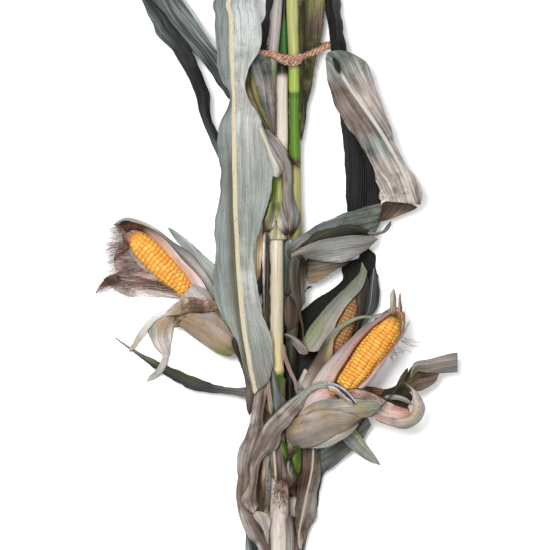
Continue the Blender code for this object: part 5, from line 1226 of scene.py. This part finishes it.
# Dried maize leaf: a thin blade with a waxy bloom, dried in the sun until the green is gone. It is matt,
# with long veins that catch the light, bleached and mouldy patches and a pale hard midrib.
def leaf_finish(name, left, right, look):
    made, tree, shader = new_material("dried_maize_" + name)
    surface = add(tree, "UVMap", uv_map="surface")
    across = add(tree, "SeparateXYZ", (surface,))
    side = add(tree, "Attribute", (), "Fac", attribute_name="side")
    share = add(tree, "Attribute", (), "Fac", attribute_name="share")
    place = add(tree, "TexCoord", (), "Object")
    base = leaf_halves(tree, left, right, look, side, share, place)
    # Fibres: streaks about 2 mm wide and 60 mm long, and finer ones between them.
    coarse, fine = (drawn_out(tree, surface, width, width * 22) for width in (4.2, 1.7))
    for fibres, deep, high in ((coarse, 0.60, 0.14), (fine, 0.38, 0.12)):
        strength = look["streak"]
        dark = add(tree, "MapRange", (fibres, 0.34, 0.66, 1 - deep * strength, 1 + high * strength))
        base = shaded(tree, base, dark, dark)
    # Long veins, one every few millimetres, a little paler than the blade.
    angle = add(tree, "Math", (across, math.tau / sizes().vein), operation="MULTIPLY")
    vein = add(tree, "Math", (angle,), operation="COSINE")
    pale = add(tree, "MapRange", (vein, 0.0, 1.0, 0.94, 1.10))
    base = shaded(tree, base, pale, pale)
    base = leaf_markings(tree, base, look, across, side, share)
    # Mould: specks of a millimetre or two, here and there.
    specks = add(tree, "TexNoise", {"Vector": place, "Scale": PER_MM / 3.2, "Detail": 5.0})
    specks = add(tree, "MapRange", (specks, 0.60, 0.70, 0, 0.45))
    base = add(tree, "Mix", {0: specks, 6: base, 7: opaque("plum")}, 2, data_type="RGBA")
    ridges = add(tree, "Math", (vein, 0.35, coarse), operation="MULTIPLY_ADD")
    ridges = add(tree, "Math", (fine, 0.6, ridges), operation="MULTIPLY_ADD")
    bumps = add(tree, "Bump", {"Strength": 0.7, "Distance": 0.9 * MM, "Height": ridges})
    feed(tree, shader, {"Base Color": base, "Roughness": 0.62, "IOR": PLANT_IOR, "Specular IOR Level": 0.22,
                        "Normal": bumps})
    return made


# Dry cane: a maize stem split from its sheath, smooth and hard, with a waxy rind, fine grooves along it and
# mould where it stood damp. Its colour changes along its length, from green to straw.
def cane_finish(name, stops):
    made, tree, shader = new_material("cane_rind_" + name)
    place = add(tree, "TexCoord", (), "Object")
    height = add(tree, "SeparateXYZ", (place,), 1)
    patches = add(tree, "TexNoise", {"Vector": place, "Scale": PER_MM / 22, "Detail": 4.0})
    moved = add(tree, "Math", (patches, 8 * MM, height), operation="MULTIPLY_ADD")
    level = add(tree, "MapRange", (moved, BUNDLE_BOTTOM * MM, BUNDLE_TOP * MM))
    # The stops are written from the top down, and the node takes them from the bottom up.
    ramp = []
    for stop in reversed(stops.split(", ")):
        at, other = stop.split()
        ramp.append(((float(at) - BUNDLE_BOTTOM) / (BUNDLE_TOP - BUNDLE_BOTTOM), colour(other)))
    base = add(tree, "ValToRGB", (level,), stops=ramp)
    surface = add(tree, "UVMap", uv_map="surface")
    grooves = drawn_out(tree, surface, 2.0, 70)
    dark = add(tree, "MapRange", (grooves, 0.3, 0.7, 0.74, 1.16))
    base = shaded(tree, base, dark, dark)
    specks = add(tree, "TexNoise", {"Vector": place, "Scale": PER_MM / 5, "Detail": 7.0, "Roughness": 0.7})
    specks = add(tree, "MapRange", (specks, 0.56, 0.68, 0, 0.3))
    base = add(tree, "Mix", {0: specks, 6: base, 7: opaque("plum")}, 2, data_type="RGBA")
    bumps = add(tree, "Bump", {"Strength": 0.6, "Distance": 0.6 * MM, "Height": grooves})
    feed(tree, shader, {"Base Color": base, "Roughness": 0.5, "IOR": PLANT_IOR, "Specular IOR Level": 0.35,
                        "Normal": bumps})
    return made


# Dent-corn kernel: a hard, smooth, slightly see-through hull, glossy on its crown, paler on top and deeper
# orange
# down its sides: partly the kernel's own colours, partly a painted highlight on the crown and painted shade
# where one kernel meets the next.
def kernel_finish(name, crown, side, tip_darkening):
    made, tree, shader = new_material("dent_corn_" + name)
    top = add(tree, "Attribute", (), "Fac", attribute_name="crown")
    tone = add(tree, "Attribute", (), "Fac", attribute_name="tone")
    # Colour by height on the kernel: the side colour low down is partly painted shade between kernels, the
    # crown colour on top partly a painted highlight.
    base = add(tree, "ValToRGB", (top,), stops=[(0.60, side), (0.84, crown)])
    change = add(tree, "MapRange", (tone, 0, 1, 0.72, 1.10))
    base = shaded(tree, base, 1.0, change)
    place = add(tree, "TexCoord", (), "Object")
    cloud = add(tree, "TexNoise", {"Vector": place, "Scale": PER_MM / 3.5, "Detail": 2.0})
    cloud = add(tree, "MapRange", (cloud, 0.45, 0.75, 0, 0.30))
    base = add(tree, "Mix", {0: cloud, 6: base, 7: (*side, 1)}, 2, data_type="RGBA")
    # The kernels darken towards plum from a share along the cob to its tip.
    begin, strength = tip_darkening
    share = add(tree, "Attribute", (), "Fac", attribute_name="share")
    share = add(tree, "MapRange", (share, begin, 1.0, 0, strength))
    base = add(tree, "Mix", {0: share, 6: base, 7: opaque("plum")}, 2, data_type="RGBA")
    feed(tree, shader, {"Base Color": base, "Roughness": 0.42, "IOR": PLANT_IOR, "Specular IOR Level": 0.3,
                        "Subsurface Weight": 0.12, "Subsurface Radius": (0.004, 0.002, 0.0005),
                        "Subsurface Scale": 0.5})
    return made


# Plant fibre: dry silk, or the coir yarn of the tie, spun from coconut husk. It is dull, and its colour
# changes from strand to strand, over patches of a few millimetres.
def fibre_finish(name, light, dark, patch=COIR_PATCH):
    made, tree, shader = new_material("fibre_" + name)
    place = add(tree, "TexCoord", (), "Object")
    change = add(tree, "TexNoise", {"Vector": place, "Scale": PER_MM / patch, "Detail": 4.0})
    base = add(tree, "ValToRGB", (change,), stops=[(0.35, colour(dark)), (0.62, colour(light))])
    bumps = add(tree, "Bump", {"Strength": 0.8, "Distance": 0.5 * MM, "Height": change})
    feed(tree, shader, {"Base Color": base, "Roughness": 0.8, "Normal": bumps})
    return made


def build_stalk(name, rows, stops):
    """A stalk or shank with a swelling at each node and shallow grooves along it."""
    rows = table(rows, 4)
    points, distance, turn, radius = tube_sheet(rows[:, :3], rows[:, 3], STALK_STEP, STALK_SIDES, (0, 0, 1))
    centre = points[:, :-1].mean(axis=1)[:, None]
    groove = 1 + 0.025 * np.sin(turn * 5 + 0.4 * wander(3, distance / 40)[:, None]) + 0.015 * np.sin(turn * 9)
    points = centre + (points - centre) * groove[..., None]
    points[..., 2] = np.maximum(points[..., 2], FLOOR_GAP)
    points[:, -1] = points[:, 0]
    PILE.add(points)
    mesh = grid_mesh(name, points, turn * radius[:, None], distance[:, None], closed=True)
    finish_mesh("cane_" + name, mesh, [name], cane_finish(name, stops))


def kernel_template(bm):
    """A rounded block with a shallow dent in its crown, from -1 to 1: a cube, cut and puffed up."""
    made = bmesh.ops.create_cube(bm, size=2.0)
    edges = list({edge for vertex in made["verts"] for edge in vertex.link_edges})
    bmesh.ops.subdivide_edges(bm, edges=edges, cuts=2, use_grid_fill=True)
    for vertex in bm.verts:
        x, y, z = vertex.co
        vertex.co /= (abs(x) ** 5 + abs(y) ** 5 + abs(z) ** 5) ** 0.2
        if vertex.co.z > 0.5:
            vertex.co.z -= 0.10 * math.exp(-(vertex.co.x ** 2 + vertex.co.y ** 2) / 0.15)


def ear_radius(ear, share):
    """A cob's radius at a share along it: narrow at its base, widest past the middle, round at the tip."""
    _, _, radius, waist, *_ = EARS[ear]
    swell = 1 - waist * np.maximum(0, 1 - share / 0.6) ** 2
    return radius * swell * np.sqrt(np.maximum(0.05, 1 - share ** COB_TAPER))


def vertices_of(items):
    """The vertices among some parts of a bmesh."""
    return [item for item in items if isinstance(item, bmesh.types.BMVert)]


def kernel_matrix(ear, rows, turn, share, chance):
    """The place, direction and size of a kernel on its cob."""
    start, tip, _, _, count, *_ = EARS[ear]
    base, ahead, left, up = ear_axes(ear)
    length = np.linalg.norm(np.subtract(tip, start))
    here = float(ear_radius(ear, share))
    growth = float(ear_radius(ear, min(share + 0.02, 0.99)) - ear_radius(ear, share - 0.02))
    slope = growth / (0.04 * length)
    out = left * math.sin(turn) + up * math.cos(turn)
    normal = Vector(out - ahead * slope).normalized()
    forward = Vector(ahead + out * slope).normalized()
    pitch = length / (count + 0.4) / 2 * math.hypot(1, slope) * chance.uniform(0.96, 1.08)
    wide = math.pi * here / rows * chance.uniform(0.97, 1.06)
    deep = min(sizes().kernel_depth / MM, here * 0.6)
    crown_place = Vector(base + ahead * (share * length) + out * here)
    columns = (forward.cross(normal) * wide, forward * pitch, normal * deep)
    matrix = Matrix(columns).transposed().to_4x4()
    matrix.translation = crown_place - normal * (deep * chance.uniform(0.93, 1.12))
    return matrix


def build_kernels(ear, rows):
    """The kernels of a cob, set in rows, smaller and rounder towards its tip."""
    *_, count, crown, tip_darkening = EARS[ear]
    chance = np.random.default_rng(len(ear) * 7)
    bm = bmesh.new()
    tone, crowned, along = (bm.verts.layers.float.new(label) for label in ("tone", "crown", "share"))
    kernel_template(bm)
    for vertex in bm.verts:
        vertex[crowned] = (vertex.co.z + 1) / 2
    template = bm.verts[:] + bm.edges[:] + bm.faces[:]
    for row in range(rows):
        for place in range(count):
            share = (place + 0.5 + 0.5 * (row % 2)) / (count + 0.4)
            share = share + 0.1 * share * (1 - share) * math.sin(row * 2.1)
            if share > LAST_KERNEL:
                continue
            turn = math.tau * (row + 0.08 * math.sin(place * 0.9 + row)) / rows
            matrix = kernel_matrix(ear, rows, turn, share, chance)
            verts = vertices_of(bmesh.ops.duplicate(bm, geom=template)["geom"])
            bmesh.ops.transform(bm, matrix=matrix, verts=verts)
            value = chance.uniform(0, 1)
            for vertex in verts:
                vertex[tone] = value
                vertex[along] = share
    bmesh.ops.delete(bm, geom=vertices_of(template), context="VERTS")
    bmesh.ops.recalc_face_normals(bm, faces=bm.faces)
    finish_mesh("kernels_" + ear, mesh_of("kernels_" + ear, bm), ["cob_" + ear],
                kernel_finish("kernels_" + ear, colour(crown), colour("kernel_side"), tip_darkening))


def build_cob(ear):
    """The cob under the kernels, which reaches a little over half of their depth."""
    start, tip, radius, *_ = EARS[ear]
    base, ahead, _, up = ear_axes(ear)
    length = np.linalg.norm(np.subtract(tip, start))
    share = np.linspace(0, 1, 40)
    line = [base + ahead * length * part for part in share]
    inside = ear_radius(ear, share) - sizes().kernel_depth / MM * 0.55
    points, distance, turn, _ = tube_sheet(line, inside, STALK_STEP, COB_SIDES, up)
    mesh = grid_mesh("core_" + ear, points, turn * radius, distance[:, None], closed=True)
    finish_mesh("core_" + ear, mesh, [], fibre_finish("cob_chaff_" + ear, "cob", "cob"))
    outside, *_ = tube_sheet(line, ear_radius(ear, share) + 0.5, STALK_STEP, COB_SIDES, up)
    PILE.add(outside)


def strands(name, lines, radius, material):
    """Thin hairs, each a tapering tube on its own line, as one piece."""
    bm = bmesh.new()
    for line in lines:
        radii = np.linspace(radius, radius * 0.45, len(line))
        points, *_ = tube_sheet(line, radii, HAIR_STEP, HAIR_SIDES, (0.13, 0.21, 0.97))
        points[..., 2] = np.maximum(points[..., 2], HAIR_GAP)
        rows, columns = points.shape[:2]
        made = bmesh.ops.create_grid(bm, x_segments=rows - 1, y_segments=columns - 1, size=0.5)
        for vertex in made["verts"]:
            row = round((vertex.co.x + 0.5) * (rows - 1))
            column = round((vertex.co.y + 0.5) * (columns - 1)) % HAIR_SIDES
            vertex.co = points[row, column]
    close_tubes(bm, 0.001)
    finish_mesh(name, mesh_of(name, bm), [], material)


def stray(chance, start, end, sag, wild, count=7):
    """A loose hair's line from one point to another, sagging and wandering on its way."""
    part = np.linspace(0, 1, count)[:, None]
    kink = np.cumsum(chance.normal(0, wild, (count, 3)), axis=0) * np.array([1, 1, 0.5])
    kink -= kink[0]
    line = start + (end - start) * part + kink
    line[:, 2] += sag * np.sin(math.pi * part[:, 0])
    return line


def tuft(name, count, reach, scatter, wild):
    """The lines of a tuft's hairs, which lie over the pieces under them."""
    chance = np.random.default_rng(seed_of(name))
    roots, ends = table(reach, 2, 3)
    lines = []
    for _ in range(count):
        share = chance.uniform(0, 1)
        beside = np.clip(share + chance.normal(0, 0.12), 0, 1)
        start = roots[0] + (roots[1] - roots[0]) * share + chance.normal(0, scatter / 3, 3)
        end = ends[0] + (ends[1] - ends[0]) * beside + chance.normal(0, scatter, 3)
        line = stray(chance, start, end, 1.0, wild)
        line[:, 2] = np.maximum(line[:, 2], PILE.top(line) + HAIR_GAP)
        lines.append(line)
    return lines


def rope_fuzz():
    """The lines of the short fibres that stand off the rope's front."""
    chance = np.random.default_rng(5)
    lines = []
    for middle in curve_points(ROPE_ROUTE, np.linspace(0, ROPE_FRONT_END, FUZZ_HAIRS)):
        out = chance.normal(0, 1, 3) * (1, 1, 0.6) + (0, 0, 0.5)
        out /= np.linalg.norm(out)
        lines.append(stray(chance, middle + out * 2.5, middle + out * chance.uniform(5, 9), 0.0, 0.5, 4))
    return lines


def build_floor(scene):
    """The floor that the bundle lies on."""
    bm = bmesh.new()
    bmesh.ops.create_grid(bm, x_segments=1, y_segments=1, size=FLOOR_SIZE)
    mesh = mesh_of("floor", bm)
    floor = bpy.data.objects.new("floor", mesh)
    scene.collection.objects.link(floor)
    # Painted board: flat, matt and nearly white.
    made, tree, shader = new_material("matt_painted_board")
    feed(tree, shader, {"Base Color": (*linear("#ffffff"), 1), "Roughness": 0.9})
    mesh.materials.append(made)


def build_lights(scene):
    """A white sky and two wide soft lamps, turned to the bundle."""
    world = bpy.data.worlds.new("studio") if scene.world is None else scene.world
    scene.world = world
    world.use_nodes = True
    feed(world.node_tree, world.node_tree.nodes["Background"], {0: (1, 1, 1, 1), 1: SKY_STRENGTH})
    for name, (place, wide, power) in LAMPS.items():
        light = bpy.data.lights.new(name, "AREA")
        light.size = wide
        light.energy = power
        lamp = bpy.data.objects.new(name, light)
        lamp.location = place
        lamp.rotation_euler = (-Vector(place)).to_track_quat("-Z", "Y").to_euler()
        scene.collection.objects.link(lamp)


def build_camera(scene):
    """A long lens straight above the bundle, as high as its view asks for."""
    lens = bpy.data.cameras.new("camera")
    lens.lens = LENS
    lens.sensor_width = SENSOR
    lens.clip_end = 50.0
    camera = bpy.data.objects.new("camera", lens)
    camera.location = (0, 0, VIEW_WIDTH / 2 / (SENSOR / 2 / LENS) + MIDDLE_HEIGHT)
    scene.collection.objects.link(camera)
    scene.camera = camera


class BuildUndermost(Operator):
    """Build the leaves and husks that lie under the stalks"""

    bl_idname = "corn_stalks.undermost"
    bl_label = "Undermost leaves"

    def execute(self, context):
        for name, entry in UNDERMOST.items():
            lay_sheet(name, entry)
        return {"FINISHED"}


class BuildStalks(Operator):
    """Build the three stalks and the shanks that carry the ears"""

    bl_idname = "corn_stalks.stalks"
    bl_label = "Stalks"

    def execute(self, context):
        for name, (slot, rows, stops) in STALKS.items():
            build_stalk(name, rows, stops)
        return {"FINISHED"}


class BuildEars(Operator):
    """Build the three cobs, kernel by kernel"""

    bl_idname = "corn_stalks.ears"
    bl_label = "Ears"

    def execute(self, context):
        for ear in EARS:
            build_kernels(ear, getattr(sizes(), ear + "_rows"))
            build_cob(ear)
        return {"FINISHED"}


class BuildWraps(Operator):
    """Build the husks and sheaths wound round the ears and the front stalk"""

    bl_idname = "corn_stalks.wraps"
    bl_label = "Husks and sheaths"

    def execute(self, context):
        for name, entry in WRAPS.items():
            lay_sheet(name, entry)
        return {"FINISHED"}


class BuildTie(Operator):
    """Build the leaves under the tie, and the coir tie itself"""

    bl_idname = "corn_stalks.tie"
    bl_label = "Tie"

    def execute(self, context):
        for name, entry in UNDER_TIE.items():
            lay_sheet(name, entry)
        coir = fibre_finish("coir_yarn", "coir", "coir_dark")
        frayed = fibre_finish("frayed_coir_yarn", "coir", "plum")
        yarn = sizes().yarn / MM
        for number in range(3):
            phase = number * math.tau / 3
            nodes = ["tie_rope"] if number == 0 else []
            for name, route, turns, fibre, nodes in (
                    ("tie_yarn_%d", ROPE_ROUTE + ROPE_ROUTE[:1], ROPE_TURNS, coir, nodes),
                    ("tie_end_%d", ROPE_END, ROPE_END_TURNS, frayed, [])):
                points, distance, turn, _ = tube_sheet(
                    route, yarn, YARN_STEP, YARN_SIDES, (0, 1, 0), yarn * YARN_OFFSET, turns, phase)
                if route[0] == route[-1]:
                    points[-1] = points[0]
                PILE.add(points)
                mesh = grid_mesh(name % number, points, turn * yarn, distance[:, None], closed=True)
                finish_mesh(name % number, mesh, nodes, fibre)
        return {"FINISHED"}


class BuildLeaves(Operator):
    """Build the leaves and loose husks over the tie, from the rearmost to the foremost"""

    bl_idname = "corn_stalks.leaves"
    bl_label = "Leaves"

    def execute(self, context):
        for name, entry in OVER_TIE.items():
            lay_sheet(name, entry)
        return {"FINISHED"}


class BuildHairs(Operator):
    """Build the silk of the ears, the frayed fibres of the husks and the fuzz of the tie"""

    bl_idname = "corn_stalks.hairs"
    bl_label = "Silk and fuzz"

    def execute(self, context):
        thin = sizes().silk / MM
        for name, (slot, count, reach, scatter, wild, light, dark) in HAIRS.items():
            fibre = fibre_finish(name, light, dark, SILK_PATCH)
            lines = tuft(name, count, reach, scatter, wild)
            strands(name, lines, thin * HAIR_WIDTHS.get(name, 1.0), fibre)
        strands("tie_fuzz", rope_fuzz(), thin * 0.9, bpy.data.materials["fibre_coir_yarn"])
        return {"FINISHED"}


class BuildStage(Operator):
    """Build the floor, the soft lights and the camera"""

    bl_idname = "corn_stalks.stage"
    bl_label = "Stage"

    def execute(self, context):
        scene = context.scene
        build_floor(scene)
        build_lights(scene)
        build_camera(scene)
        scene.view_settings.view_transform = "Standard"
        return {"FINISHED"}


OPERATORS = (BuildUndermost, BuildStalks, BuildEars, BuildWraps, BuildTie, BuildLeaves, BuildHairs,
             BuildStage)


class CornStalksPanel(Panel):
    """The bundle's sizes, its colours and a button for each group of pieces"""

    bl_idname = "VIEW3D_PT_corn_stalks"
    bl_label = "Corn Stalks"
    bl_space_type = "VIEW_3D"
    bl_region_type = "UI"
    bl_category = "Corn Stalks"

    def draw(self, context):
        for group in (context.scene.bundle_sizes, context.scene.bundle_colours):
            for name in group.__annotations__:
                self.layout.prop(group, name)
        for operator in OPERATORS:
            self.layout.operator(operator.bl_idname)


CLASSES = (BundleColours, BundleSizes, *OPERATORS, CornStalksPanel)


def register():
    for each in CLASSES:
        bpy.utils.register_class(each)
    bpy.types.Scene.bundle_colours = PointerProperty(type=BundleColours)
    bpy.types.Scene.bundle_sizes = PointerProperty(type=BundleSizes)


def unregister():
    del bpy.types.Scene.bundle_sizes
    del bpy.types.Scene.bundle_colours
    for each in reversed(CLASSES):
        bpy.utils.unregister_class(each)


def main():
    register()
    for operator in OPERATORS:
        getattr(bpy.ops.corn_stalks, operator.bl_idname.split(".")[1])()


if __name__ == "__main__":
    main()
